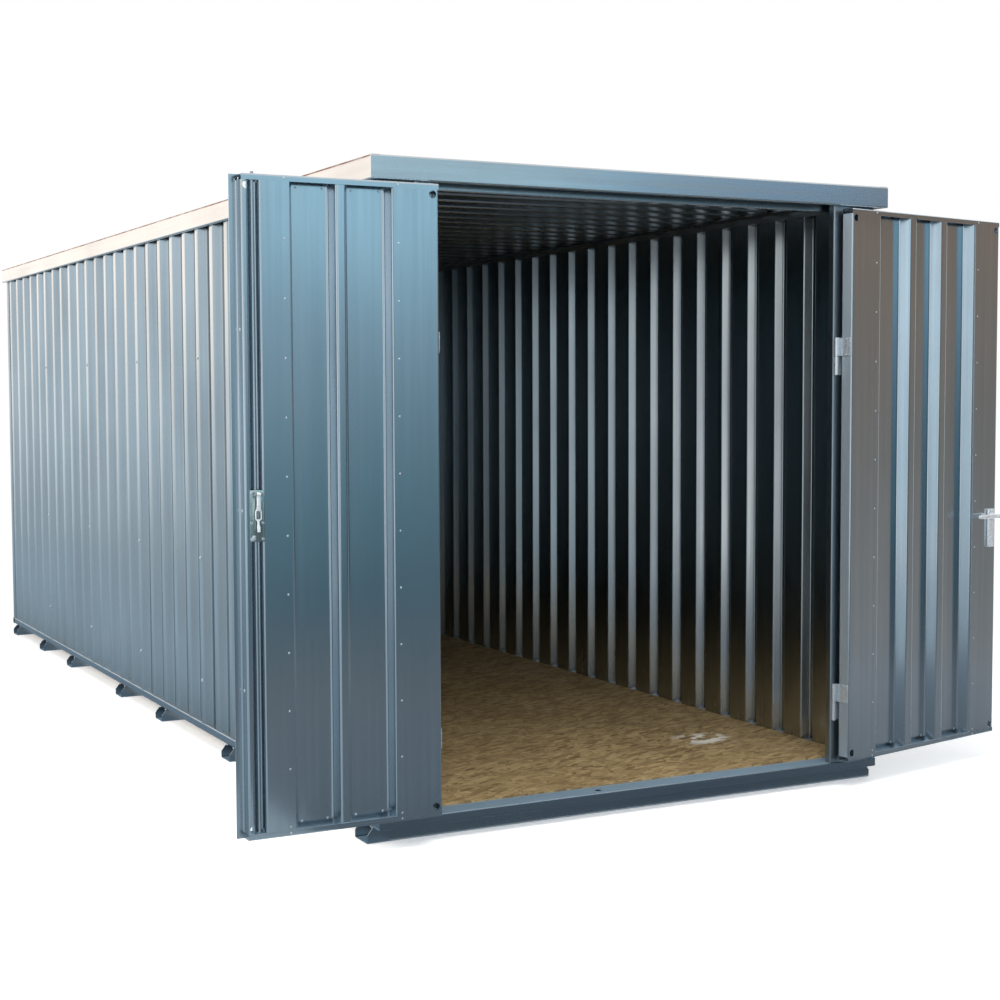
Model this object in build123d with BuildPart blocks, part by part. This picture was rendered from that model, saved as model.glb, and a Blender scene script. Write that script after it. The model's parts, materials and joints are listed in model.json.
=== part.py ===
from build123d import *
import os
from math import cos, radians, sin, tan

# A bolted storage container of galvanised sheet, with both door leaves standing open.
# Millimetres. X runs across the doorway, Y from the doors to the rear wall, Z up from the ground.
# The origin is on the ground, under the middle of the fifth skid from the doors.

# Body
body_width = 2130.0
panel_width = 975.0
panels_per_side = 6
overall_height = 2325.0
roof_overhang = 20.0
half_width = body_width / 2

# How far each leaf stands past half a turn in the rest pose, and how far both can go, in degrees
passive_swing = 0.0
active_swing = 12.0
swing_limit = max(passive_swing, active_swing)

# Doorway, hinge line and front corners; the corners step back behind the leaves at the swing limit
front_side_width = 224.0
jamb_depth = 30.0
door_post_width = 80.0
hinge_axis_out = 7.0
hinge_axis_forward = 11.0
corner_clearance = 11.5
corner_thickness = 20.0
corner_return = 39.0
rear_post_width = 62.0
wall_setback = 2.0
wall_face = half_width - wall_setback
jamb_half_width = half_width - front_side_width
hinge_axis_x = jamb_half_width + hinge_axis_out
leaf_sweep = (wall_face - hinge_axis_x) * tan(radians(swing_limit))
corner_step = leaf_sweep - hinge_axis_forward * (1 + 1 / cos(radians(swing_limit))) + corner_clearance
corner_depth = corner_step + corner_thickness
body_length = panels_per_side * panel_width + 2 * corner_depth

# Sheet and folded sections
sheet = 2.0
fold = 3.0
bend_radius = 6.0
seam_gap = 0.5
overrun = 10.0

# Skids under the floor, lipped channels that open upwards, each with a packing strip for the floor
skid_width = 110.0
skid_height = 57.0
skid_lip = 24.0
skid_reach = 19.0
skid_end_run = 22.0
skid_end_drop = 28.0
front_skid_setback = 61.0
rear_skid_gap = 57.0
skid_span_shares = (0, 0.1294, 0.2581, 0.432, 0.5592, 0.7456, 0.8675, 1)
origin_skid = 5

# Base frame and floor
base_height = 35.0
sill_depth = 88.0
rail_depth = 40.0
first_skid = front_skid_setback + skid_width / 2
last_skid = body_length - rail_depth - rear_skid_gap - skid_width / 2
skid_places = [first_skid + share * (last_skid - first_skid) for share in skid_span_shares]
front_y = -skid_places[origin_skid - 1]
rear_y = front_y + body_length
floor_thickness = 22.0
floor_rise = 5.0
floor_boards = 3
board_gap = 1.0
floor_margin = 2.0
strip_back = 45.0
strip_front = first_skid - sill_depth - floor_margin
base_top = skid_height + base_height
floor_top = base_top + floor_rise
floor_bottom = floor_top - floor_thickness

# Profiled sheet of the walls and roof
ribs_per_panel = 5
rib_crown = 46.0
rib_depth = 36.0
rib_run = 9.0
rib_pitch = panel_width / ribs_per_panel
rib_foot = rib_crown + 2 * rib_run
joint_margin = 13.0
joint_setback = rib_foot / 2 + joint_margin
flat_face = wall_face - rib_depth
inner_face = flat_face - sheet

# Roof frame
fascia_height = 81.0
fascia_top_lip = 35.0
fascia_bottom_lip = 18.0
crown_room = bend_radius - fold
roof_half_width = half_width + roof_overhang
fascia_bottom = overall_height - fascia_height
roof_seat = overall_height - fold - crown_room - rib_depth - sheet

# Inner rails under the roof and header behind the leaves
top_rail_height = 34.0
top_rail_lip = 40.0
header_setback = 60.0
header_drop = 19.0
header_lip = 25.0

# Leaves
leaf_thickness = 50.0
leaf_drop = 12.0
leaf_lift = 9.0
hinge_gap = 9.0
passive_share = 0.4123
passive_lip = 26.0
meeting_gap = 8.0
leaf_rail_height = 20.0
hinge_flat = 165.0
lock_flat = 160.0
outer_flat = 60.0
passive_pan_shares = ((0.2434, 0.4825), (0.5335, 0.7609))
active_pan_shares = ((0.1854, 0.3782), (0.4217, 0.588), (0.6325, 0.8211))
pan_run = 13.0
sheet_overlap = 40.0
corner_hole_radius = 13.0
corner_hole_drop = 36.0
corner_hole_inset = 22.0
strip_hole_inset = 17.0
pan_depth = leaf_thickness - 2 * fold - sheet
leaf_bottom = base_top + leaf_lift
leaf_top = fascia_bottom - leaf_drop
leaf_height = leaf_top - leaf_bottom
closed_edge = jamb_half_width - hinge_gap
passive_width = passive_share * 2 * closed_edge
active_width = 2 * closed_edge - passive_width - passive_lip - meeting_gap

# Lift-off hinges
knuckle_radius = 8.0
pin_radius = 5.0
pin_clearance = 0.3
pin_short = 4.0
knuckle_height = 70.0
knuckle_gap = 2.0
hinge_plate = 3.0
hinge_plate_width = 42.0
post_plate_start = 4.0
post_plate_width = 44.0
post_plate_bite = 1.0
hinge_feet = (262.0, 1600.0)
hinge_axis_y = front_y - hinge_axis_forward
edge_to_axis = hinge_axis_x - closed_edge
face_to_axis = leaf_thickness + hinge_axis_forward

# Bolt rods in the passive leaf's free edge, and their lever
rod_radius = 6.0
rod_clearance = 1.0
rod_channel_width = 38.0
rod_channel_depth = 28.0
rod_depth = 14.0
edge_strip = 20.0
rod_rise = 7.0
rod_gap_half = 40.0
keeper_radius = 12.0
latch_z = 1149.0
latch_height = 166.0
latch_side = 6.0
latch_plate_thickness = 3.0
lug_thickness = 5.0
lug_width = 16.0
lug_reach = 22.0
lever_drop = 14.0
lever_pin_radius = 4.0
lever_pin_clearance = 0.3
lever_pivot_out = 14.0
lever_length = 112.0
lever_width = 14.0
lever_thickness = 6.0
lever_eye_radius = 8.0
lever_side_gap = 0.5
lever_ring_radius = 11.0
lever_ring_hole = 6.0
rod_from_hinge = passive_width - edge_strip - rod_channel_width / 2
lever_pivot_z = latch_z + latch_height / 2 - lever_drop

# Lock and handles of the active leaf
handle_from_edge = 42.0
handle_z = 1017.0
lock_plate_width = 38.0
lock_plate_height = 159.0
lock_plate_thickness = 12.0
lock_plate_rise = 29.0
spindle_radius = 9.0
spindle_clearance = 0.5
handle_reach = 52.0
handle_length = 118.0
handle_radius = 9.0
cylinder_radius = 8.5
cylinder_drop = 92.0
cylinder_reach = 3.0
handle_from_hinge = active_width - handle_from_edge

parts_folder = "parts"
os.makedirs(parts_folder, exist_ok=True)


def write(piece, name):
    """Labels one finished piece and writes it as its own file."""
    piece.label = name
    export_step(piece, f"{parts_folder}/{name}.step")


def folded_bar(plane, points, side, length):
    """A section folded along the points with rounded bends, run out along the plane's normal."""
    with BuildPart() as bar:
        with BuildSketch(plane):
            with BuildLine():
                FilletPolyline(*points, radius=bend_radius)
                offset(amount=fold, side=side, kind=Kind.INTERSECTION)
            make_face()
        extrude(amount=length)
    return bar.part


def profiled_panel(plane, points, side, length):
    """A panel of profiled sheet with its section along the points, run out along the plane's normal."""
    with BuildPart() as panel:
        with BuildSketch(plane):
            with BuildLine():
                Polyline(*points)
                offset(amount=sheet, side=side, kind=Kind.INTERSECTION)
            make_face()
        extrude(amount=length)
    return panel.part


def rib_points(start, end, middles, direction):
    """Section of a profiled sheet: flats on the line, ribs raised to rib_depth in the direction."""
    crown = direction * rib_depth
    points = [(start, 0)]
    for middle in middles:
        points.append((middle - rib_foot / 2, 0))
        points.append((middle - rib_crown / 2, crown))
        points.append((middle + rib_crown / 2, crown))
        points.append((middle + rib_foot / 2, 0))
    points.append((end, 0))
    return points


def pan_points(start, end, pans, direction):
    """Section of a leaf's sheet: crowns on the line, wide pans sunk to pan_depth in the direction."""
    pan_floor = direction * pan_depth
    points = [(start, 0)]
    for first, last in pans:
        points.append((first, 0))
        points.append((first + pan_run, pan_floor))
        points.append((last - pan_run, pan_floor))
        points.append((last, 0))
    points.append((end, 0))
    return points


def panel_runs(start, end):
    """Panels along the body, as distances from the front plane: ends of each one and its ribs."""
    joints = [number * panel_width - joint_setback for number in range(1, panels_per_side)]
    edges = [start, *joints, end]
    rib_count = panels_per_side * ribs_per_panel
    ribs = [number * rib_pitch for number in range(1, rib_count + 1)]
    runs = []
    for index in range(panels_per_side):
        gap = 0 if index == 0 else seam_gap
        middles = [front_y + rib for rib in ribs if edges[index] < rib < edges[index + 1]]
        runs.append((front_y + edges[index] + gap, front_y + edges[index + 1], middles))
    return runs


def inward_side(hand):
    """The side of a section line, drawn upwards, that faces the middle of the body."""
    return Side.LEFT if hand > 0 else Side.RIGHT


# Skids
skid_half_length = half_width + skid_reach
strip_half_length = half_width - rail_depth - floor_margin
for number, place in enumerate(skid_places, start=1):
    skid_plane = Plane(origin=(-skid_half_length, front_y + place, 0), x_dir=(0, 1, 0), z_dir=(1, 0, 0))
    skid_section = [
        (skid_lip - skid_width / 2, skid_height),
        (-skid_width / 2, skid_height),
        (-skid_width / 2, 0),
        (skid_width / 2, 0),
        (skid_width / 2, skid_height),
        (skid_width / 2 - skid_lip, skid_height),
    ]
    end_y = front_y + place + skid_width / 2 + overrun
    with BuildPart() as skid:
        add(folded_bar(skid_plane, skid_section, Side.LEFT, 2 * skid_half_length))
        for end in (-1, 1):
            with BuildSketch(Plane(origin=(0, end_y, 0), x_dir=(1, 0, 0), z_dir=(0, -1, 0))):
                with BuildLine():
                    Polyline(
                        (end * (skid_half_length - skid_end_run), skid_height),
                        (end * skid_half_length, skid_height - skid_end_drop),
                        (end * (skid_half_length + overrun), skid_height - skid_end_drop),
                        (end * (skid_half_length + overrun), skid_height + overrun),
                        (end * (skid_half_length - skid_end_run), skid_height + overrun),
                        close=True,
                    )
                make_face()
            extrude(amount=skid_width + 2 * overrun, mode=Mode.SUBTRACT)
        with BuildSketch(Plane.XY.offset(skid_height)):
            with Locations((0, front_y + place + (strip_back - strip_front) / 2)):
                Rectangle(2 * strip_half_length, strip_front + strip_back)
        extrude(amount=floor_bottom - skid_height)
    write(skid.part, f"skid_{number}")

# Base rails along the sides, channels that open inwards
rail_length = body_length - sill_depth - rail_depth
for name, hand in (("left_base_rail", -1), ("right_base_rail", 1)):
    rail_plane = Plane(
        origin=(hand * half_width, rear_y - rail_depth, skid_height), x_dir=(1, 0, 0), z_dir=(0, -1, 0)
    )
    rail_section = [
        (-hand * rail_depth, 0),
        (0, 0),
        (0, base_height),
        (-hand * rail_depth, base_height),
    ]
    write(folded_bar(rail_plane, rail_section, inward_side(hand), rail_length), name)

# Front and rear sills; the front one has a hole for the lower bolt rod
keeper_x = rod_from_hinge - closed_edge
keeper_y = front_y + leaf_thickness - rod_depth
for name, outer_y, hand, depth in (
    ("front_sill", front_y, -1, sill_depth),
    ("rear_sill", rear_y, 1, rail_depth),
):
    sill_plane = Plane(origin=(-half_width, outer_y, skid_height), x_dir=(0, 1, 0), z_dir=(1, 0, 0))
    sill_section = [
        (-hand * depth, 0),
        (0, 0),
        (0, base_height),
        (-hand * depth, base_height),
    ]
    with BuildPart() as sill:
        add(folded_bar(sill_plane, sill_section, inward_side(hand), body_width))
        if hand < 0:
            with BuildSketch(Plane.XY.offset(base_top + overrun)):
                with Locations((keeper_x, keeper_y)):
                    Circle(keeper_radius)
            extrude(amount=-(fold + 2 * overrun), mode=Mode.SUBTRACT)
    write(sill.part, name)

# Floor boards
floor_half_width = half_width - rail_depth - floor_margin
floor_start = front_y + sill_depth + floor_margin
floor_length = rear_y - rail_depth - floor_margin - floor_start
board_length = (floor_length - (floor_boards - 1) * board_gap) / floor_boards
with BuildPart() as floor:
    for index in range(floor_boards):
        board_middle = floor_start + index * (board_length + board_gap) + board_length / 2
        with BuildSketch(Plane.XY.offset(floor_bottom)):
            with Locations((0, board_middle)):
                Rectangle(2 * floor_half_width, board_length)
        extrude(amount=floor_thickness)
write(floor.part, "floor")

# Side walls of profiled panels; the ribs stand at whole pitches from the front plane
wall_height = roof_seat - base_top
for name, hand in (("left_wall", -1), ("right_wall", 1)):
    wall_plane = Plane(origin=(hand * flat_face, 0, base_top), x_dir=(0, 1, 0), z_dir=(0, 0, 1))
    with BuildPart() as side_wall:
        for start, end, middles in panel_runs(corner_depth, body_length - corner_depth):
            section = rib_points(start, end, middles, -hand)
            add(profiled_panel(wall_plane, section, inward_side(hand), wall_height))
    write(side_wall.part, name)

# Rear wall, two profiled panels between the rear posts
rear_post_face = wall_face - rear_post_width
rear_pitch = rear_post_face / ribs_per_panel
rear_plane = Plane(origin=(0, rear_y - wall_setback - rib_depth, base_top), x_dir=(1, 0, 0), z_dir=(0, 0, 1))
with BuildPart() as rear_wall:
    for start, end, first_rib in (
        (-rear_post_face, 0, rear_pitch / 2 - rear_post_face),
        (seam_gap, rear_post_face, rear_pitch / 2),
    ):
        middles = [first_rib + rib * rear_pitch for rib in range(ribs_per_panel)]
        section = rib_points(start, end, middles, 1)
        add(profiled_panel(rear_plane, section, Side.RIGHT, wall_height))
write(rear_wall.part, "rear_wall")

# Posts at the doorway and the corners
for side_name, hand in (("left", -1), ("right", 1)):
    post_plane = Plane(origin=(hand * jamb_half_width, front_y, base_top), x_dir=(1, 0, 0), z_dir=(0, 0, 1))
    door_post_section = [
        (0, jamb_depth),
        (0, 0),
        (hand * door_post_width, 0),
        (hand * door_post_width, corner_step),
    ]
    write(
        folded_bar(post_plane, door_post_section, inward_side(hand), wall_height),
        f"{side_name}_door_post",
    )
    corner_plane = Plane(origin=(hand * wall_face, front_y, base_top), x_dir=(1, 0, 0), z_dir=(0, 0, 1))
    corner_width = wall_face - jamb_half_width - door_post_width + fold
    corner_section = [
        (-hand * corner_width, corner_step),
        (0, corner_step),
        (0, corner_depth),
        (-hand * corner_return, corner_depth),
    ]
    write(
        folded_bar(corner_plane, corner_section, inward_side(hand), wall_height),
        f"{side_name}_front_corner",
    )
    rear_corner_plane = Plane(origin=(hand * wall_face, rear_y, base_top), x_dir=(1, 0, 0), z_dir=(0, 0, 1))
    rear_corner_section = [
        (-hand * corner_return, -corner_depth),
        (0, -corner_depth),
        (0, -wall_setback),
        (-hand * rear_post_width, -wall_setback),
        (-hand * rear_post_width, -wall_setback - rib_depth - sheet),
    ]
    write(
        folded_bar(rear_corner_plane, rear_corner_section, inward_side(hand), wall_height),
        f"{side_name}_rear_corner",
    )

# Angles under the roof along the walls
for name, hand in (("left_top_rail", -1), ("right_top_rail", 1)):
    top_rail_plane = Plane(
        origin=(hand * inner_face, rear_y - corner_depth, roof_seat - top_rail_height),
        x_dir=(1, 0, 0),
        z_dir=(0, -1, 0),
    )
    top_rail_section = [(0, 0), (0, top_rail_height), (-hand * top_rail_lip, top_rail_height)]
    top_rail_length = body_length - 2 * corner_depth
    write(folded_bar(top_rail_plane, top_rail_section, inward_side(hand), top_rail_length), name)

rear_rail_half = inner_face - top_rail_lip
rear_rail_plane = Plane(
    origin=(-rear_rail_half, rear_y - wall_setback - rib_depth - sheet, roof_seat - top_rail_height),
    x_dir=(0, 1, 0),
    z_dir=(1, 0, 0),
)
rear_rail_section = [(0, 0), (0, top_rail_height), (-top_rail_lip, top_rail_height)]
rear_rail = folded_bar(rear_rail_plane, rear_rail_section, Side.LEFT, 2 * rear_rail_half)
write(rear_rail, "rear_top_rail")

# Header across the doorway, behind the closed leaves
header_half = inner_face - bend_radius
header_bottom = fascia_bottom - header_drop
header_height = roof_seat - fold - header_bottom
header_plane = Plane(
    origin=(-header_half, front_y + header_setback, header_bottom), x_dir=(0, 1, 0), z_dir=(1, 0, 0)
)
header_section = [(header_lip, 0), (0, 0), (0, header_height), (header_lip, header_height)]
write(folded_bar(header_plane, header_section, Side.RIGHT, 2 * header_half), "header")

# Roof of profiled panels with their ribs across the body
roof_inside = roof_half_width - fold
roof_plane = Plane(origin=(-roof_inside, 0, roof_seat + sheet), x_dir=(0, 1, 0), z_dir=(1, 0, 0))
with BuildPart() as roof:
    for start, end, middles in panel_runs(fold - roof_overhang, body_length + roof_overhang - fold):
        section = rib_points(start, end, middles, 1)
        add(profiled_panel(roof_plane, section, Side.RIGHT, 2 * roof_inside))
write(roof.part, "roof")

# Fascia round the roof; the front and rear pieces cover the ends of the side pieces
lip_half = roof_half_width - fascia_top_lip
cut_width = fascia_top_lip + overrun
cut_depth = fascia_top_lip + overrun - fold
for name, outer_y, hand in (
    ("front_fascia", front_y - roof_overhang, -1),
    ("rear_fascia", rear_y + roof_overhang, 1),
):
    fascia_plane = Plane(origin=(-roof_half_width, outer_y, fascia_bottom), x_dir=(0, 1, 0), z_dir=(1, 0, 0))
    fascia_section = [
        (-hand * fascia_bottom_lip, 0),
        (0, 0),
        (0, fascia_height),
        (-hand * fascia_top_lip, fascia_height),
    ]
    with BuildPart() as fascia:
        add(folded_bar(fascia_plane, fascia_section, inward_side(hand), 2 * roof_half_width))
        for end in (-1, 1):
            cut_x = end * (lip_half + cut_width / 2)
            cut_y = outer_y - hand * (fold + cut_depth / 2)
            with BuildSketch(Plane.XY.offset(fascia_bottom - overrun)):
                with Locations((cut_x, cut_y)):
                    Rectangle(cut_width, cut_depth)
            extrude(amount=fascia_height + 2 * overrun, mode=Mode.SUBTRACT)
    write(fascia.part, name)
for name, hand in (("left_fascia", -1), ("right_fascia", 1)):
    fascia_plane = Plane(
        origin=(hand * roof_half_width, rear_y + roof_overhang - fold, fascia_bottom),
        x_dir=(1, 0, 0),
        z_dir=(0, -1, 0),
    )
    fascia_section = [
        (-hand * fascia_bottom_lip, 0),
        (0, 0),
        (0, fascia_height),
        (-hand * fascia_top_lip, fascia_height),
    ]
    fascia_length = body_length + 2 * roof_overhang - 2 * fold
    write(folded_bar(fascia_plane, fascia_section, inward_side(hand), fascia_length), name)


def along(hand, swing):
    """Direction from a leaf's hinge edge to its free edge in the rest pose."""
    return Vector(hand * cos(radians(swing)), sin(radians(swing)), 0)


def across(hand, swing):
    """Direction from a leaf's inner face to its outer face in the rest pose."""
    return Vector(-hand * sin(radians(swing)), cos(radians(swing)), 0)


def leaf_point(hand, swing, from_hinge, depth, height):
    """A point of a leaf, by its distance from the hinge edge and from the inner face."""
    axis = Vector(hand * hinge_axis_x, hinge_axis_y, height)
    shift = along(hand, swing) * (edge_to_axis + from_hinge)
    return axis + shift - across(hand, swing) * (face_to_axis - depth)


def level_plane(hand, swing, height, depth=0):
    """Horizontal plane of a leaf: x from the hinge edge, y towards the outer face times the hand."""
    origin = leaf_point(hand, swing, 0, depth, height)
    return Plane(origin=origin, x_dir=along(hand, swing), z_dir=(0, 0, 1))


def face_plane(hand, swing, height, depth):
    """Plane of a leaf's face at a depth, looking into the leaf: x from the hinge edge, y down or up by hand."""
    origin = leaf_point(hand, swing, 0, depth, height)
    return Plane(origin=origin, x_dir=along(hand, swing), z_dir=across(hand, swing))


def end_plane(hand, swing, height, from_hinge=0):
    """Plane across a leaf's rails: x towards the outer face, y up times the hand."""
    origin = leaf_point(hand, swing, from_hinge, 0, height)
    return Plane(origin=origin, x_dir=across(hand, swing), z_dir=along(hand, swing))


# The two leaves: profiled sheet between folded edge profiles and rails
for side_name, hand, swing, leaf_width, pan_shares in (
    ("left", -1, passive_swing, passive_width, passive_pan_shares),
    ("right", 1, active_swing, active_width, active_pan_shares),
):
    toward_outer = inward_side(hand)
    toward_inner = inward_side(-hand)
    lock_start = leaf_width - lock_flat

    # Profiled sheet between the flanges of the rails, its outer crowns behind the flats of the edge profiles
    sheet_plane = level_plane(hand, swing, leaf_bottom + bend_radius, fold)
    pans = [(first * leaf_width, last * leaf_width) for first, last in pan_shares]
    sheet_section = pan_points(hinge_flat - sheet_overlap, lock_start + sheet_overlap, pans, hand)
    leaf_sheet = profiled_panel(sheet_plane, sheet_section, toward_outer, leaf_height - 2 * bend_radius)
    write(leaf_sheet, f"{side_name}_leaf_sheet")

    # Edge profiles of the hinge side and the lock side
    profile_plane = level_plane(hand, swing, leaf_bottom + leaf_rail_height)
    profile_height = leaf_height - 2 * leaf_rail_height
    hinge_section = [
        (hinge_flat, 0),
        (0, 0),
        (0, hand * leaf_thickness),
        (outer_flat, hand * leaf_thickness),
    ]
    if hand < 0:
        channel_end = leaf_width - edge_strip
        channel_start = channel_end - rod_channel_width
        lip_depth = hand * (leaf_thickness - fold)
        lock_section = [
            (lock_start, 0),
            (channel_start, 0),
            (channel_start, hand * rod_channel_depth),
            (channel_end, hand * rod_channel_depth),
            (channel_end, 0),
            (leaf_width, 0),
            (leaf_width, lip_depth),
            (leaf_width + passive_lip, lip_depth),
        ]
    else:
        lock_section = [
            (lock_start, 0),
            (leaf_width, 0),
            (leaf_width, hand * leaf_thickness),
            (leaf_width - outer_flat, hand * leaf_thickness),
        ]
    hole_heights = (leaf_bottom + corner_hole_drop, leaf_top - corner_hole_drop)
    free_inset = strip_hole_inset if hand < 0 else corner_hole_inset
    with BuildPart() as hinge_profile:
        add(folded_bar(profile_plane, hinge_section, toward_inner, profile_height))
        for height in hole_heights:
            with BuildSketch(face_plane(hand, swing, height, -overrun)):
                with Locations((corner_hole_inset, 0)):
                    Circle(corner_hole_radius)
            extrude(amount=overrun + bend_radius, mode=Mode.SUBTRACT)
    write(hinge_profile.part, f"{side_name}_leaf_hinge_profile")
    with BuildPart() as lock_profile:
        add(folded_bar(profile_plane, lock_section, toward_outer, profile_height))
        if hand < 0:
            with BuildSketch(level_plane(hand, swing, leaf_bottom)):
                with Locations((leaf_width + passive_lip / 2, hand * (leaf_thickness - fold / 2))):
                    Rectangle(passive_lip, fold)
            extrude(amount=leaf_height)
        else:
            with BuildSketch(face_plane(hand, swing, handle_z, -overrun)):
                with Locations((handle_from_hinge, 0)):
                    Circle(spindle_radius + spindle_clearance)
            extrude(amount=leaf_thickness + 2 * overrun, mode=Mode.SUBTRACT)
        for height in hole_heights:
            with BuildSketch(face_plane(hand, swing, height, -overrun)):
                with Locations((leaf_width - free_inset, 0)):
                    Circle(corner_hole_radius)
            extrude(amount=overrun + bend_radius, mode=Mode.SUBTRACT)
    write(lock_profile.part, f"{side_name}_leaf_lock_profile")

    # Rails folded over the top and bottom of the leaf
    for rail_name, height, inner in (("bottom", leaf_bottom, 1), ("top", leaf_top, -1)):
        lip = hand * inner * leaf_rail_height
        rail_section = [(0, lip), (0, 0), (leaf_thickness, 0), (leaf_thickness, lip)]
        rail_side = toward_outer if inner > 0 else toward_inner
        with BuildPart() as leaf_rail:
            add(folded_bar(end_plane(hand, swing, height), rail_section, rail_side, leaf_width))
            if hand < 0:
                with BuildSketch(level_plane(hand, swing, height - overrun)):
                    with Locations((rod_from_hinge, hand * rod_depth)):
                        Circle(rod_radius + rod_clearance)
                extrude(amount=2 * overrun, mode=Mode.SUBTRACT)
        write(leaf_rail.part, f"{side_name}_leaf_{rail_name}_rail")

    # Leaf halves of the hinges, with the knuckle above and a plate on the leaf's edge
    with BuildPart() as leaf_hinges:
        for foot in hinge_feet:
            with BuildSketch(level_plane(hand, swing, foot + knuckle_height + knuckle_gap)):
                plate_middle = face_to_axis - hinge_plate_width / 2
                with Locations((-hinge_plate / 2, hand * plate_middle)):
                    Rectangle(hinge_plate, hinge_plate_width)
                with Locations((-edge_to_axis / 2, hand * (face_to_axis - hinge_plate / 2))):
                    Rectangle(edge_to_axis, hinge_plate)
                with Locations((-edge_to_axis, hand * face_to_axis)):
                    Circle(knuckle_radius)
                    Circle(pin_radius + pin_clearance, mode=Mode.SUBTRACT)
            extrude(amount=knuckle_height)
    write(leaf_hinges.part, f"{side_name}_leaf_hinges")

    # Post halves of the hinges, with the pin
    with BuildPart() as post_hinges:
        for foot in hinge_feet:
            with BuildSketch(Plane.XY.offset(foot)):
                with Locations((hand * hinge_axis_x, hinge_axis_y)):
                    Circle(knuckle_radius)
                plate_depth = hinge_plate + post_plate_bite
                plate_x = hinge_axis_x - post_plate_start + post_plate_width / 2
                with Locations((hand * plate_x, front_y - plate_depth / 2)):
                    Rectangle(post_plate_width, plate_depth)
            extrude(amount=knuckle_height)
            with BuildSketch(Plane.XY.offset(foot)):
                with Locations((hand * hinge_axis_x, hinge_axis_y)):
                    Circle(pin_radius)
            extrude(amount=2 * knuckle_height + knuckle_gap - pin_short)
    write(post_hinges.part, f"{side_name}_post_hinges")

# Bolt rods of the passive leaf
latch_hand = -1
for name, start, end in (
    ("upper_rod", latch_z + rod_gap_half, leaf_top + rod_rise),
    ("lower_rod", leaf_bottom, latch_z - rod_gap_half),
):
    with BuildPart() as rod:
        with BuildSketch(level_plane(latch_hand, passive_swing, start)):
            with Locations((rod_from_hinge, latch_hand * rod_depth)):
                Circle(rod_radius)
        extrude(amount=end - start)
    write(rod.part, name)

# Latch plate over the rod channel, with two lugs and the lever's pin
latch_width = rod_channel_width + 2 * latch_side
lug_place = lever_width / 2 + lever_side_gap + lug_thickness / 2
pin_length = lever_width + 2 * lever_side_gap + 2 * lug_thickness
with BuildPart() as latch_plate:
    with BuildSketch(face_plane(latch_hand, passive_swing, latch_z, -latch_plate_thickness)):
        with Locations((rod_from_hinge, 0)):
            Rectangle(latch_width, latch_height)
    extrude(amount=latch_plate_thickness)
    for direction in (-1, 1):
        lug_x = rod_from_hinge + direction * lug_place
        with BuildSketch(face_plane(latch_hand, passive_swing, lever_pivot_z, -lug_reach)):
            with Locations((lug_x, 0)):
                Rectangle(lug_thickness, lug_width)
        extrude(amount=lug_reach)
    pin_start = rod_from_hinge - pin_length / 2
    with BuildSketch(end_plane(latch_hand, passive_swing, lever_pivot_z, pin_start)):
        with Locations((-lever_pivot_out, 0)):
            Circle(lever_pin_radius)
    extrude(amount=pin_length)
write(latch_plate.part, "latch_plate")

# Latch lever, hanging from its pin with a ring at the end
eye_start = rod_from_hinge - lever_width / 2
lever_end = lever_pivot_z - lever_length
with BuildPart() as latch_lever:
    with BuildSketch(end_plane(latch_hand, passive_swing, lever_pivot_z, eye_start)):
        with Locations((-lever_pivot_out, 0)):
            Circle(lever_eye_radius)
        with Locations((-lever_pivot_out, lever_length / 2)):
            Rectangle(lever_thickness, lever_length)
    extrude(amount=lever_width)
    ring_plane = face_plane(latch_hand, passive_swing, lever_end, -lever_pivot_out - lever_thickness / 2)
    with BuildSketch(ring_plane):
        with Locations((rod_from_hinge, 0)):
            Circle(lever_ring_radius)
    extrude(amount=lever_thickness)
    with BuildSketch(ring_plane.offset(-overrun)):
        with Locations((rod_from_hinge, 0)):
            Circle(lever_ring_hole)
    extrude(amount=lever_thickness + 2 * overrun, mode=Mode.SUBTRACT)
    with BuildSketch(end_plane(latch_hand, passive_swing, lever_pivot_z, eye_start - overrun)):
        with Locations((-lever_pivot_out, 0)):
            Circle(lever_pin_radius + lever_pin_clearance)
    extrude(amount=lever_width + 2 * overrun, mode=Mode.SUBTRACT)
write(latch_lever.part, "latch_lever")

# Lock plates on both faces of the active leaf, with the cylinder ends
lock_hand = 1
plate_middle_z = handle_z + lock_plate_rise - lock_plate_height / 2
with BuildPart() as lock_plates:
    for plate_start, cylinder_start in (
        (-lock_plate_thickness, -lock_plate_thickness - cylinder_reach),
        (leaf_thickness, leaf_thickness),
    ):
        with BuildSketch(face_plane(lock_hand, active_swing, plate_middle_z, plate_start)):
            with Locations((handle_from_hinge, 0)):
                Rectangle(lock_plate_width, lock_plate_height)
        extrude(amount=lock_plate_thickness)
        with BuildSketch(face_plane(lock_hand, active_swing, handle_z - cylinder_drop, cylinder_start)):
            with Locations((handle_from_hinge, 0)):
                Circle(cylinder_radius)
        extrude(amount=lock_plate_thickness + cylinder_reach)
    with BuildSketch(face_plane(lock_hand, active_swing, handle_z, -lock_plate_thickness - overrun)):
        with Locations((handle_from_hinge, 0)):
            Circle(spindle_radius + spindle_clearance)
    extrude(amount=leaf_thickness + 2 * lock_plate_thickness + 2 * overrun, mode=Mode.SUBTRACT)
write(lock_plates.part, "lock_plates")

# Handle levers on one spindle through the active leaf
spindle_length = leaf_thickness + 2 * handle_reach
with BuildPart() as handle:
    with BuildSketch(face_plane(lock_hand, active_swing, handle_z, -handle_reach)):
        with Locations((handle_from_hinge, 0)):
            Circle(spindle_radius)
    extrude(amount=spindle_length)
    grip_start = handle_from_hinge - handle_length
    for grip_depth in (handle_radius - handle_reach, leaf_thickness + handle_reach - handle_radius):
        with BuildSketch(end_plane(lock_hand, active_swing, handle_z, grip_start)):
            with Locations((grip_depth, 0)):
                Circle(handle_radius)
        extrude(amount=handle_length)
write(handle.part, "handle")
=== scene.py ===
"""Looks of a bolted storage container of galvanised sheet, with both door leaves standing open."""

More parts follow.
